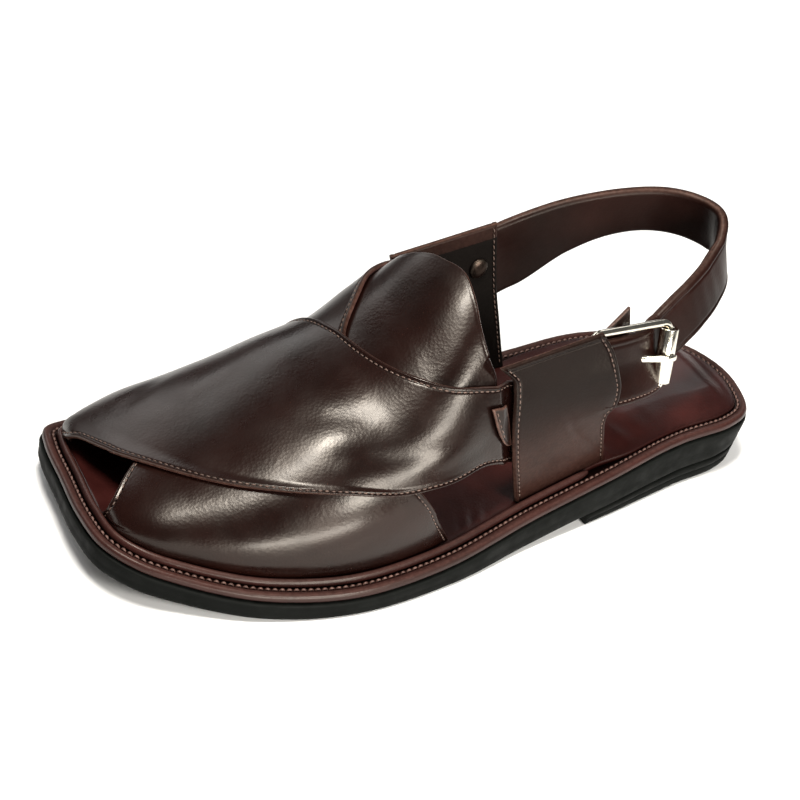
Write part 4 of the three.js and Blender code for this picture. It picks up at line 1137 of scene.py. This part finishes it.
@dataclass
class Forefoot:
    """The two crossed straps and the tongue."""

    last: Last
    finishes: Finishes

    def under_strap(self) -> Sheet:
        """Makes the strap from the lateral toe to the medial instep."""
        front = ((0, 0), (0.01, 28), (0.055, 52), (0.13, 74), (0.26, 94), (0.42, 113), (0.58, 130),
                 (0.74, 144), (0.92, 152))
        rear = ((0.74, 0), (0.69, 14), (0.645, 28), (0.58, 50), (0.575, 72), (0.625, 91), (0.685, 105),
                (0.76, 124), (0.85, 136), (0.92, 143))
        creases = (Crease((0.02, 12), (0.09, 22), 2.4, 0.5), Crease((0.035, 4), (0.15, 9), 2.2, 0.45),
                   Crease((0.22, 5), (0.44, 7), 4.0, 0.35), Crease((0.42, 14), (0.6, 20), 3.5, 0.3))
        strap = Strap(self.last, front, rear, lambda u, g, b: 0 * u, creases)
        sheet = Sheet(strap.place, self.last.leather, np.linspace(0, 1, 260), 90)
        relief = fold_relief(sheet) + strap.folds(sheet)
        piece = sheet.build("under_strap", relief, dark=painted_stitch_shade(sheet), inner_slot=1)
        piece.finish(Slot.UPPER, [self.finishes.upper, self.finishes.inside], "upper")
        return sheet

    def over_strap(self) -> Sheet:
        """Makes the strap from the medial toe to the lateral instep, which lies on the other."""
        front = ((0, 180), (0.015, 142), (0.065, 108), (0.145, 84), (0.25, 63), (0.38, 48), (0.55, 34),
                 (0.72, 21.5), (0.96, 7))
        rear = ((0.56, 180), (0.57, 150), (0.595, 118), (0.615, 93), (0.64, 76), (0.68, 62), (0.76, 45),
                (0.85, 34.5), (0.96, 27))

        def low(u: Array, angle: Array, b: Array) -> Array:
            """The inner face: on the under-strap, at the medial side on the last, lifted in front."""
            settled = self.last.over_lift * (1 - smoothstep(150, 176, angle))
            free = smoothstep(8, 40, angle) * (1 - smoothstep(120, 160, angle))
            return settled + (1 - smoothstep(0, 0.12, b)) * free

        creases = (Crease((0.5, 52), (0.72, 33), 3.6, 0.5), Crease((0.46, 70), (0.6, 58), 4.6, 0.42),
                   Crease((0.3, 92), (0.5, 100), 6.0, 0.3), Crease((0.66, 30), (0.8, 22), 2.6, 0.45),
                   Crease((0.2, 110), (0.32, 128), 5.0, 0.3))
        strap = Strap(self.last, front, rear, low, creases)
        sheet = Sheet(strap.place, self.last.leather, np.linspace(0, 1, 320), 110)
        relief = fold_relief(sheet) + strap.folds(sheet)
        piece = sheet.build("over_strap", relief, dark=painted_stitch_shade(sheet), inner_slot=1)
        piece.finish(Slot.UPPER, [self.finishes.upper, self.finishes.inside])
        return sheet

    def tongue(self) -> Sheet:
        """Makes the domed tongue, with a thin cut edge and a soft swell."""
        front = ((0.56, 104), (0.53, 84), (0.54, 66), (0.6, 49), (0.7, 35.5), (0.83, 24))
        top = ((0.735, 126), (0.775, 122), (0.785, 106), (0.805, 92), (0.825, 80), (0.822, 68), (0.817, 58),
               (0.82, 49), (0.83, 42), (0.836, 37), (0.832, 30))
        strap = Strap(self.last, front, top, lambda u, g, b: 0 * u - CLEARANCE - 2.2,
                      (Crease((0.7, 44), (0.8, 40), 3.0, 0.4), Crease((0.66, 60), (0.79, 66), 7.0, 0.35)))
        sheet = Sheet(strap.place, 2.2, np.linspace(0, 1, 200), 60, close=(True, True))
        relief = strap.folds(sheet) - 0.12 * bell(sheet.rear - 1.4, 0.7)
        # painted shade darkens the tongue towards its front edge, where it runs under the straps
        piece = sheet.build("tongue_leather", relief, dark=0.7 * bell(sheet.front, 9), inner_slot=1)
        piece.finish(Slot.UPPER, [self.finishes.upper, self.finishes.lining], "tongue")
        return sheet

    def side_tab(self) -> Sheet:
        """Makes the small rounded tab in front of the lateral quarter."""
        def place(a: Array, b: Array, height: Array) -> Array:
            """A point of the tab: b from its rear line to its rounded front."""
            a, b, height = np.broadcast_arrays(a, b, height)
            bow = 0.033 * np.clip(1 - a ** 3, 0, 1) ** 0.8 + 0.003
            u = mix(0.835, 0.862, a) - bow * b
            angle = mix(30.4, 16.8, a) + 80 * bow * b * (1 - a)
            low = self.last.over_lift + self.last.leather + 3 * CLEARANCE
            return self.last(u, angle, low + height)

        sheet = Sheet(place, 1.3, np.linspace(0, 1, 80), 16, fine=2.4, close=(True, True))
        relief = -0.12 * bell(sheet.rear - 1.6, 0.45)
        piece = sheet.build("side_tab_leather", relief, rub=bell(sheet.edge(), 0.7))
        piece.finish(Slot.UPPER, [self.finishes.upper], "side_tab")
        return sheet

    def build(self) -> None:
        """Makes the straps, the tongue and the tab, and sews their edges."""
        under, over, tab = self.under_strap(), self.over_strap(), self.side_tab()
        self.tongue()
        row = StitchRow("upper_stitches", StitchStyle())
        for sheet, *where in (
                (over, SEAM), (over, SEAM, False), (under, SEAM, True, slice(0, 150)), (under, SEAM, False),
                (under, SEAM, True, slice(150, 260)), (tab, 1.5, False, slice(6, 54))):
            row.lay(*sheet.line(*where))
        row.finish(Slot.UPPER, self.finishes.thread)


@dataclass
class Ears:
    """The two quarters with their folded edges, their stitches and the snap."""

    lateral: Quarter
    medial: Quarter
    finishes: Finishes
    collar: float = 5.6
    snap_at: tuple[float, float] = (36.5, 66.4)

    def leather(self, quarter: Quarter, name: str, node: str) -> Sheet:
        """Makes one quarter: brown outside, black lining inside."""
        rise = np.concatenate([np.linspace(0, 0.94, 110), 1 - 0.06 * (1 - np.linspace(0, 1, 34)[1:]) ** 1.6])
        sheet = Sheet(quarter.place, quarter.leather, rise, 60, close=(False, True))
        a, b = sheet.a, sheet.b
        relief = fold_relief(sheet) + 0.2 * bell(sheet.end - 0.9, 0.9) - 0.22 * bell(sheet.end - 2.2, 0.5)
        if quarter.side is Side.LATERAL:
            across = (b - 0.62) * 60 + (a - 0.42) * 55
            along = (b - 0.62) * 55 - (a - 0.42) * 60
            relief += 0.75 * (0.5 * bell(across, 7) - bell(across, 2.6)) * bell(along - 8, 22)
            relief += 0.5 * bell(a - 0.16, 0.09) * np.sin(b * 9 + 0.6) * bell(b - 0.55, 0.4)
            relief += 0.35 * bell((b - 0.86) * 50, 6) * bell(a - 0.5, 0.16)
        relief += 0.25 * np.sin(a * 5 + 0.8) * np.sin(b * 3.1)
        # painted shade along the stitches, at the foot and over the upper half; painted sheen lightens the
        # lower half, besides the rubbed edges
        shade = np.maximum(painted_stitch_shade(sheet), np.maximum(0.5 * bell(a, 0.05), 0.75 * smoothstep(0.35, 0.75, a)))
        rub = np.maximum(0.6 * bell(sheet.edge(), 0.4), 0.13 * (1 - smoothstep(0.2, 0.7, a)))
        piece = sheet.build(name, relief, dark=shade, inner_slot=1, collar=self.collar, rub=rub)
        piece.finish(Slot.UPPER, [self.finishes.satin, self.finishes.lining], node)
        return sheet

    def snap(self) -> None:
        """Makes the snap head on the inside of the medial quarter: a round domed cap."""
        quarter = self.medial
        x, z = self.snap_at
        rise = float(quarter.rise(x, z))

        def inner(dx: float, dr: float) -> Array:
            """A point of the inner face near the snap."""
            spot, share = x + dx, rise + dr
            y = float(quarter.face(spot, share)) - quarter.leather
            return np.array([spot, y, float(mix(quarter.low(spot), quarter.high(spot), share))])

        forward = unit(inner(2, 0) - inner(-2, 0))
        upward = unit(inner(0, 0.05) - inner(0, -0.05))
        inward = unit(np.cross(forward, upward))
        inward = inward * (-1 if inward[1] > 0 else 1)
        # the third column is painted shade: at the base and in a ring on the shoulder
        profile = np.array([
            (0, 0, 0.6), (4, 0, 0.6), (4.05, 0.3, 0.3), (3.85, 0.65, 0), (3.5, 0.8, 0.5), (3.2, 0.95, 0.2),
            (2.6, 1.2, 0), (1.8, 1.38, 0), (0.9, 1.46, 0), (0, 1.48, 0)])
        radius, proud, dark = (column[:, None, None] for column in profile.T)
        turn = circle(40)
        ring = forward[None] * np.cos(turn)[:, None] + upward[None] * np.sin(turn)[:, None]
        piece = Piece("snap_head")
        grid = inner(0, 0) + ring[None] * radius + inward * (CLEARANCE + proud)
        piece.grid(grid, wrap=True, dark=dark[..., 0])
        piece.finish(Slot.METAL, [self.finishes.snap], "rivet")

    def build(self) -> None:
        """Makes both quarters, their stitches and the snap."""
        near = self.leather(self.lateral, "lateral_quarter", "quarter_lateral")
        far = self.leather(self.medial, "medial_quarter", "quarter_medial")
        row = StitchRow("quarter_stitches", StitchStyle())
        for sheet in (near, far):
            for from_front in (True, False):
                line, normal = sheet.line(SEAM, from_front, slice(4, 128))
                row.lay(line, normal)
                row.lay(line - normal * (sheet.thickness + 0.1), -normal)
        row.finish(Slot.UPPER, self.finishes.thread)
        self.snap()


# ---------------------------------------------------------------- the ankle strap and the buckle


@dataclass
class BuckleFrame:
    """The buckle's own directions and its places, as on the lateral quarter's rear edge."""

    quarter: Quarter
    rod: float = 3.0
    length: float = 40.0
    height: float = 27.0
    corner: float = 4.0
    roller: float = 6.0
    bore: float = 3.6
    prong_width: float = 2.6
    prong_thickness: float = 1.6
    at: float = 43.0
    top: float = 79.0

    def __post_init__(self) -> None:
        """Works out the directions: along to the roller, rise up the bars, out away from the foot."""
        self.hook = self.rod / 2 + CLEARANCE + self.prong_thickness / 2
        bar_out = self.rod / 2 + 2 * CLEARANCE
        high = self._beside(self.top, 2 * (self.hook + self.prong_thickness / 2 + CLEARANCE) - bar_out)
        low = self._beside(self.top - self.height, bar_out)
        yaw, pitch = math.radians(5), math.radians(-5)
        self.along = unit(np.array([math.cos(yaw), math.sin(yaw), math.tan(pitch)]))
        rise = high - low
        self.rise = unit(rise - self.along * (rise @ self.along))
        self.out = np.cross(self.along, self.rise)
        self.centre = high - self.rise * self.height / 2

    def _beside(self, z: float, depth: float) -> Array:
        """A point inside the quarter's inner face."""
        q = self.quarter
        return np.array([self.at, float(q.face(self.at, q.rise(self.at, z))) + q.leather + depth, z])

    def on(self, along: Array, rise: Array, out: Array) -> Array:
        """A point by the buckle's directions."""
        along, rise, out = np.broadcast_arrays(*(np.asarray(v, float) for v in (along, rise, out)))
        shares = np.stack([along, rise, out], -1)[..., None]
        return self.centre + (shares * [self.along, self.rise, self.out]).sum(-2)


@dataclass
class Buckle:
    """The roller buckle, its prong and the guard behind it."""

    frame: BuckleFrame
    finishes: Finishes

    def rod_frame(self) -> None:
        """Makes the frame: a round rod along a rectangle with rounded corners."""
        f = self.frame
        turn = np.radians(np.concatenate([np.linspace(k * 90, k * 90 + 90, 12) for k in range(4)]))
        cx = np.repeat([f.length - f.corner, f.corner, f.corner, f.length - f.corner], 12)
        cy = np.repeat([1, 1, -1, -1], 12) * (f.height / 2 - f.corner)
        path = f.on(cx + f.corner * np.cos(turn), cy + f.corner * np.sin(turn), 0.0)
        side = np.cos(turn)[:, None] * f.along + np.sin(turn)[:, None] * f.rise
        grid = tube(path, side, np.tile(f.out, (len(path), 1)), (f.rod / 2, f.rod / 2), 20)
        piece = Piece("buckle_rod")
        piece.grid(np.concatenate([grid, grid[:1]]), wrap=True)
        piece.finish(Slot.METAL, [self.finishes.metal], "buckle_frame")

    def roller(self) -> None:
        """Makes the roller: a tube with rounded lips, from its outside round into its bore."""
        f = self.frame
        half, outer, inner = f.height / 2 - f.corner + 1.5, f.roller / 2 + 0.6, f.bore / 2
        lip = 0.35
        # the third column is painted shade, darkest inside the bore
        end = [(inner, half - lip, 0.9), (inner + lip, half, 0.3), (outer - lip, half, 0),
               (outer - lip * 0.3, half - lip * 0.3, 0), (outer, half - lip, 0)]
        profile = np.array([(r, -z, dark) for r, z, dark in end] + end[::-1] + [(inner, -half + lip, 0.9)])
        turn = circle(48)
        grid = np.stack([f.on(f.length + r * np.cos(turn), z, r * np.sin(turn)) for r, z, _ in profile])
        piece = Piece("buckle_tube")
        piece.grid(grid, wrap=True, dark=profile[:, 2:])
        piece.finish(Slot.METAL, [self.finishes.metal], "buckle_roller")

    def prong(self) -> None:
        """Makes the prong: a flat rod that hooks round the front bar and rests on the roller."""
        f = self.frame
        turns = np.radians(np.arange(70, 271, 12.5))
        rest = f.roller / 2 + CLEARANCE + f.prong_thickness / 2
        ends = Spline([(0.0, -f.hook), (11.0, -f.hook), (27.0, -f.hook * 0.3 + rest * 0.15),
                       (f.length - 1, rest), (f.length + 2.4, rest - 0.3)])(np.linspace(0, 1, 40))
        path = np.concatenate([np.column_stack([f.hook * np.cos(turns), f.hook * np.sin(turns)])[:-1], ends])
        ahead = unit(np.gradient(path, axis=0))
        up = -ahead[:, 1:2] * f.along + ahead[:, :1] * f.out
        wide, thick = (np.sign(wave) * np.abs(wave) ** 0.6 * size / 2 for wave, size in (
            (np.cos(circle(20)), f.prong_width), (np.sin(circle(20)), f.prong_thickness)))
        taper = np.concatenate([np.ones(len(path) - 5), [0.96, 0.86, 0.68, 0.4, 0.0]])
        taper[0] = 0.0
        centre = f.on(path[:, 0], np.zeros(len(path)), path[:, 1])
        section = f.rise * wide[None, :, None] + up[:, None] * thick[None, :, None]
        grid = centre[:, None] + taper[:, None, None] * section
        piece = Piece("buckle_pin")
        piece.grid(grid, wrap=True)
        piece.finish(Slot.METAL, [self.finishes.metal], "buckle_prong")

    def guard(self) -> None:
        """Makes the flap behind the buckle: a pointed outline drawn in ring by ring, with a cut edge."""
        f = self.frame
        rows = ((0.02, -0.4), (0.4, -0.42), (0.5, -0.3), (0.575, 0.42), (0.53, 0.75), (0.28, 0.47),
                (0.02, 0.38))
        corners = np.array(rows) * [f.length, f.height]
        share = np.linspace(0, 1, 14, endpoint=False)
        sides = zip(corners, np.roll(corners, -1, 0))
        outline = np.concatenate([mix(p, q, share[:, None]) for p, q in sides])
        middle = outline.mean(0)
        back, thick = -f.hook - f.prong_thickness / 2 - CLEARANCE - 1.6, 1.6
        reach = np.linalg.norm(outline - middle, axis=1)
        far = 99.0
        profile = np.array([(far, 0), (1.6, 0), (0.3, 0.05), (0, 0.4), (0, 1.2), (0.3, 1.55), (1.0, 1.6),
                            (1.6, 1.45), (2.4, 1.6), (far, 1.6)])
        rings = []
        for inset, height in profile:
            flat = middle + (outline - middle) * np.maximum(0, 1 - inset / reach)[:, None]
            rings.append(f.on(flat[:, 0], flat[:, 1], back + height / 1.6 * thick))
        piece = Piece("guard_flap")
        piece.grid(np.stack(rings), wrap=True, rub=bell(profile[:, :1], 0.5))
        piece.finish(Slot.UPPER, [self.finishes.upper], "buckle_guard")

    def build(self) -> None:
        """Makes the buckle's pieces."""
        for make in (self.rod_frame, self.roller, self.prong, self.guard):
            make()


@dataclass
class AnkleStrap:
    """The padded strap from the medial quarter round the heel to the buckle."""

    medial: Quarter
    buckle: BuckleFrame
    finishes: Finishes
    width: float = 22.0
    thickness: float = 3.2
    padded: float = 4.2
    below_bar: float = 4.6
    over_bar: float = 3.6
    rows: tuple[tuple[float, float, float, float, float], ...] = (
        (0.25, 0.305, 79, 1.15, 0), (0.32, 0.258, 86.5, 1.05, 10), (0.38, 0.2, 89.5, 1.07, 16),
        (0.416, 0.12, 90, 1.1, 18), (0.43, 0.03, 89, 1.12, 18), (0.418, -0.053, 83.6, 1.08, 18),
        (0.386, -0.118, 78, 1.02, 20),
        (0.35, -0.162, 73.4, 1, 21), (0.32, -0.185, 68.6, 1, 20))

    def __post_init__(self) -> None:
        """Lays the strap's path, its height and its lean."""
        q, f = self.medial, self.buckle
        places, talls, leans = [], [], []
        for x, z in ((34, 62), (43, 64.5), (51, 67.5)):
            rise = float(q.rise(x, z))
            slope = float(q.face(x, rise + 0.1) - q.face(x, rise - 0.1))
            lean = -math.atan(slope / (0.2 * float(q.high(x) - q.low(x))))
            out = (2 * CLEARANCE + self.thickness / 2) / math.cos(lean)
            places.append((x, float(q.face(x, rise)) + out, z))
            talls.append(1.3)
            leans.append(math.degrees(lean))
        for x, y, z, tall, lean in self.rows:
            places.append((x * q.foot.length, y * q.foot.ball, z))
            talls.append(tall)
            leans.append(lean)
        for along, rise, out, lean in (
                (1.1, 0.14, -0.27, 18), (0.97, 0.07, -0.25, 17), (0.84, 0.01, -0.13, 15),
                (0.5, -0.01, -0.02, 15), (0.12, -0.02, 0, 14)):
            places.append(tuple(f.on(along * f.length, rise * f.height, out * f.height)))
            talls.append(1.0)
            leans.append(lean)
        self.spans = len(places) - 1
        self.path = Spline(places)
        index = np.arange(len(places))
        self.tall, self.lean = Curve(index, talls), Curve(index, leans)

    def place(self, a: Array, b: Array, height: Array) -> Array:
        """A point of the strap: b runs from its lower to its upper edge, the face bulges with its padding."""
        a, b, height = np.broadcast_arrays(a, b, height)
        at = self.path(a)
        along = unit(self.path(np.clip(a + 1e-4, 0, 1)) - self.path(np.clip(a - 1e-4, 0, 1)))
        flat = unit(np.stack([-along[..., 1], along[..., 0], 0 * a], -1))
        upright = unit(np.cross(along, flat))
        upright = upright * np.sign(upright[..., 2:3])
        lean = np.radians(self.lean(a * self.spans))[..., None]
        up = unit(upright * np.cos(lean) - flat * np.sin(lean))
        side = unit(np.cross(up, along))
        side = side * np.sign((side * flat).sum(-1, keepdims=True))
        tall = self.tall(a * self.spans)
        spread = smoothstep(0.8, 0.86, a) * smoothstep(0.55, 0.05, b)
        rise = (b - 0.5) * self.width * tall - self.below_bar * spread
        out = height - self.padded / 2 + self.over_bar * spread
        return at + up * rise[..., None] + side * out[..., None]

    def build(self) -> None:
        """Makes the strap: rolled edges, waves along its inside and a row of stitches by the buckle."""
        sheet = Sheet(self.place, self.padded, np.linspace(0, 1, 420), 34, close=(True, True))
        a, b = sheet.a, sheet.b
        roll = 0.35 * bell(sheet.rear - 1.2, 1.2) + 0.2 * bell(sheet.front - 1.2, 1.2)
        trough = -0.3 * bell(sheet.front - 2.6, 0.5) - 0.3 * bell(sheet.rear - 2.8, 0.55)
        puff = 0.35 * np.sin(np.pi * np.clip(b, 0, 1)) ** 0.6
        rear = smoothstep(0.05, 0.15, a) * (1 - smoothstep(0.6, 0.75, a))
        ripple = 0.08 * np.sin(a * 180) * np.sin(np.pi * b) * rear
        relief = roll + trough + puff + ripple - 0.3
        piece = sheet.build("ankle_strap", relief, rub=0.3 * bell(sheet.edge(), 0.5))
        piece.finish(Slot.UPPER, [self.finishes.satin], "back_strap")
        row = StitchRow("strap_stitches", StitchStyle())
        row.lay(*sheet.line(2.6, True, slice(335, 414)))
        row.finish(Slot.UPPER, self.finishes.thread)


# ---------------------------------------------------------------- the studio


@dataclass
class Studio:
    """The camera, the pale floor and the soft lights."""

    azimuth: float = -38.523
    elevation: float = 35.497
    roll: float = 13.298
    distance: float = 800.63
    pixels_per_mm: float = 2.642
    aim_at: tuple[float, float] = (425.214, 410.475)
    frame_size: float = 800.0
    target: tuple[float, float, float] = (0.0, 0.0, 30.0)
    floor_half: float = 3.0
    floor_tone: float = 0.86
    cream: tuple[float, float, float] = (1.0, 0.965, 0.9)

    def camera(self) -> None:
        """Puts the camera at the photograph's angle, with the shoe's target at its pixel."""
        az, el, roll = (math.radians(v) for v in (self.azimuth, self.elevation, self.roll))
        back = Vector((math.sin(az) * math.cos(el), -math.cos(az) * math.cos(el), math.sin(el)))
        right = Vector((math.cos(az), math.sin(az), 0.0))
        up = back.cross(right)
        right, up = right * math.cos(roll) + up * math.sin(roll), up * math.cos(roll) - right * math.sin(roll)
        middle = Vector((np.array(self.target) + FRAME_SHIFT) * MM)
        data = bpy.data.cameras.new("camera")
        data.sensor_width = 36.0
        data.lens = self.pixels_per_mm * self.distance / self.frame_size * data.sensor_width
        data.shift_x = (self.frame_size / 2 - self.aim_at[0]) / self.frame_size
        data.shift_y = (self.aim_at[1] - self.frame_size / 2) / self.frame_size
        data.clip_start, data.clip_end = 0.05, 20.0
        made = bpy.data.objects.new("camera", data)
        turn = Matrix((right, up, back)).transposed().to_4x4()
        made.matrix_world = Matrix.Translation(middle + back * (self.distance * MM)) @ turn
        bpy.context.scene.collection.objects.link(made)
        bpy.context.scene.camera = made

    def floor(self) -> None:
        """Lays a wide pale floor."""
        half, tone = self.floor_half, self.floor_tone
        mesh = bpy.data.meshes.new("floor")
        corners = [(-half, -half, 0), (half, -half, 0), (half, half, 0), (-half, half, 0)]
        mesh.from_pydata(corners, [], [(0, 1, 2, 3)])
        n = Nodes("pale_floor")
        n.wear(Base_Color=(tone, tone, tone, 1.0), Roughness=0.9)
        mesh.materials.append(n.material)
        made = bpy.data.objects.new("floor", mesh)
        made.location.z = -0.0002
        bpy.context.scene.collection.objects.link(made)

    def light(self, name: str, at: tuple[float, float, float], size: tuple[float, float], power: float,
              colour: tuple[float, float, float] = (1.0, 1.0, 1.0), glossy: bool = True) -> None:
        """Hangs a soft box that faces the shoe.

        Args:
            name: the light's name.
            at: its place, in metres.
            size: its width and height, in metres.
            power: its power, in watts.
            colour: its colour.
            glossy: whether it shows as a highlight.
        """
        data = bpy.data.lights.new(name, "AREA")
        data.shape, data.size, data.size_y = "RECTANGLE", size[0], size[1]
        data.energy, data.color = power, colour
        made = bpy.data.objects.new(name, data)
        made.location = at
        made.rotation_euler = (Vector((0.0, 0.0, 0.03)) - Vector(at)).to_track_quat("-Z", "Y").to_euler()
        made.visible_camera = False
        made.visible_glossy = glossy
        bpy.context.scene.collection.objects.link(made)

    def build(self) -> None:
        """Makes the camera, the floor, the sky and the lights."""
        self.camera()
        self.floor()
        world = bpy.context.scene.world or bpy.data.worlds.new("studio")
        bpy.context.scene.world = world
        world.use_nodes = True
        sky = next(n for n in world.node_tree.nodes if n.type == "BACKGROUND")
        sky.inputs["Color"].default_value = (1.0, 1.0, 1.0, 1.0)
        sky.inputs["Strength"].default_value = 0.09
        bpy.context.scene.view_settings.view_transform = "Standard"
        self.light("overhead", (-0.24, -0.11, 1.12), (0.16, 0.38), 16.0, self.cream)
        self.light("front", (0.2, -1.1, 0.64), (0.4, 0.34), 15.0, self.cream)
        self.light("horizon", (-0.12, -1.3, 0.1), (0.86, 0.18), 18.0, self.cream)
        self.light("rear", (-0.15, 1.05, 0.7), (0.9, 0.45), 3.5)
        self.light("heel", (0.75, 0.6, 0.75), (0.4, 0.4), 0.8)
        self.light("fill", (0.0, 0.3, 2.6), (3.0, 3.0), 20.0, glossy=False)


def main() -> None:
    """Builds the studio and each sub-assembly in order."""
    logging.basicConfig(level=logging.INFO, format="%(name)s: %(message)s")
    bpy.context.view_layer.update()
    Studio().build()
    finishes = Finishes()
    foot = Footprint()
    sole = Sole(foot, finishes)
    for make in (sole.rubber, sole.heel, sole.rim, sole.piping, sole.insole, sole.stitches):
        make()
    lateral = Quarter(Side.LATERAL, foot, sole, 38.0, (
        (0, 0.055, 0.209, 0, 0), (0.2, 0.041, 0.195, 0, 0.01), (0.4, 0.029, 0.183, 0.08, 0.05),
        (0.5, 0.025, 0.187, 0.18, 0.11), (0.62, 0.022, 0.184, 0.33, 0.13), (0.75, 0.021, 0.174, 0.52, 0.12),
        (0.88, 0.019, 0.164, 0.77, 0.06), (1, -0.002, 0.148, 1, 0)))
    medial = Quarter(Side.MEDIAL, foot, sole, 40.0, (
        (0, 0.03, 0.19, 0, 0), (0.3, 0.022, 0.173, 0.16, 0), (0.6, 0.01, 0.16, 0.5, 0),
        (1, -0.01, 0.151, 1, 0)))
    last = Last(sole, lateral, medial)
    Forefoot(last, finishes).build()
    Ears(lateral, medial, finishes).build()
    buckle = BuckleFrame(lateral)
    Buckle(buckle, finishes).build()
    AnkleStrap(medial, buckle, finishes).build()


if __name__ == "__main__":
    main()
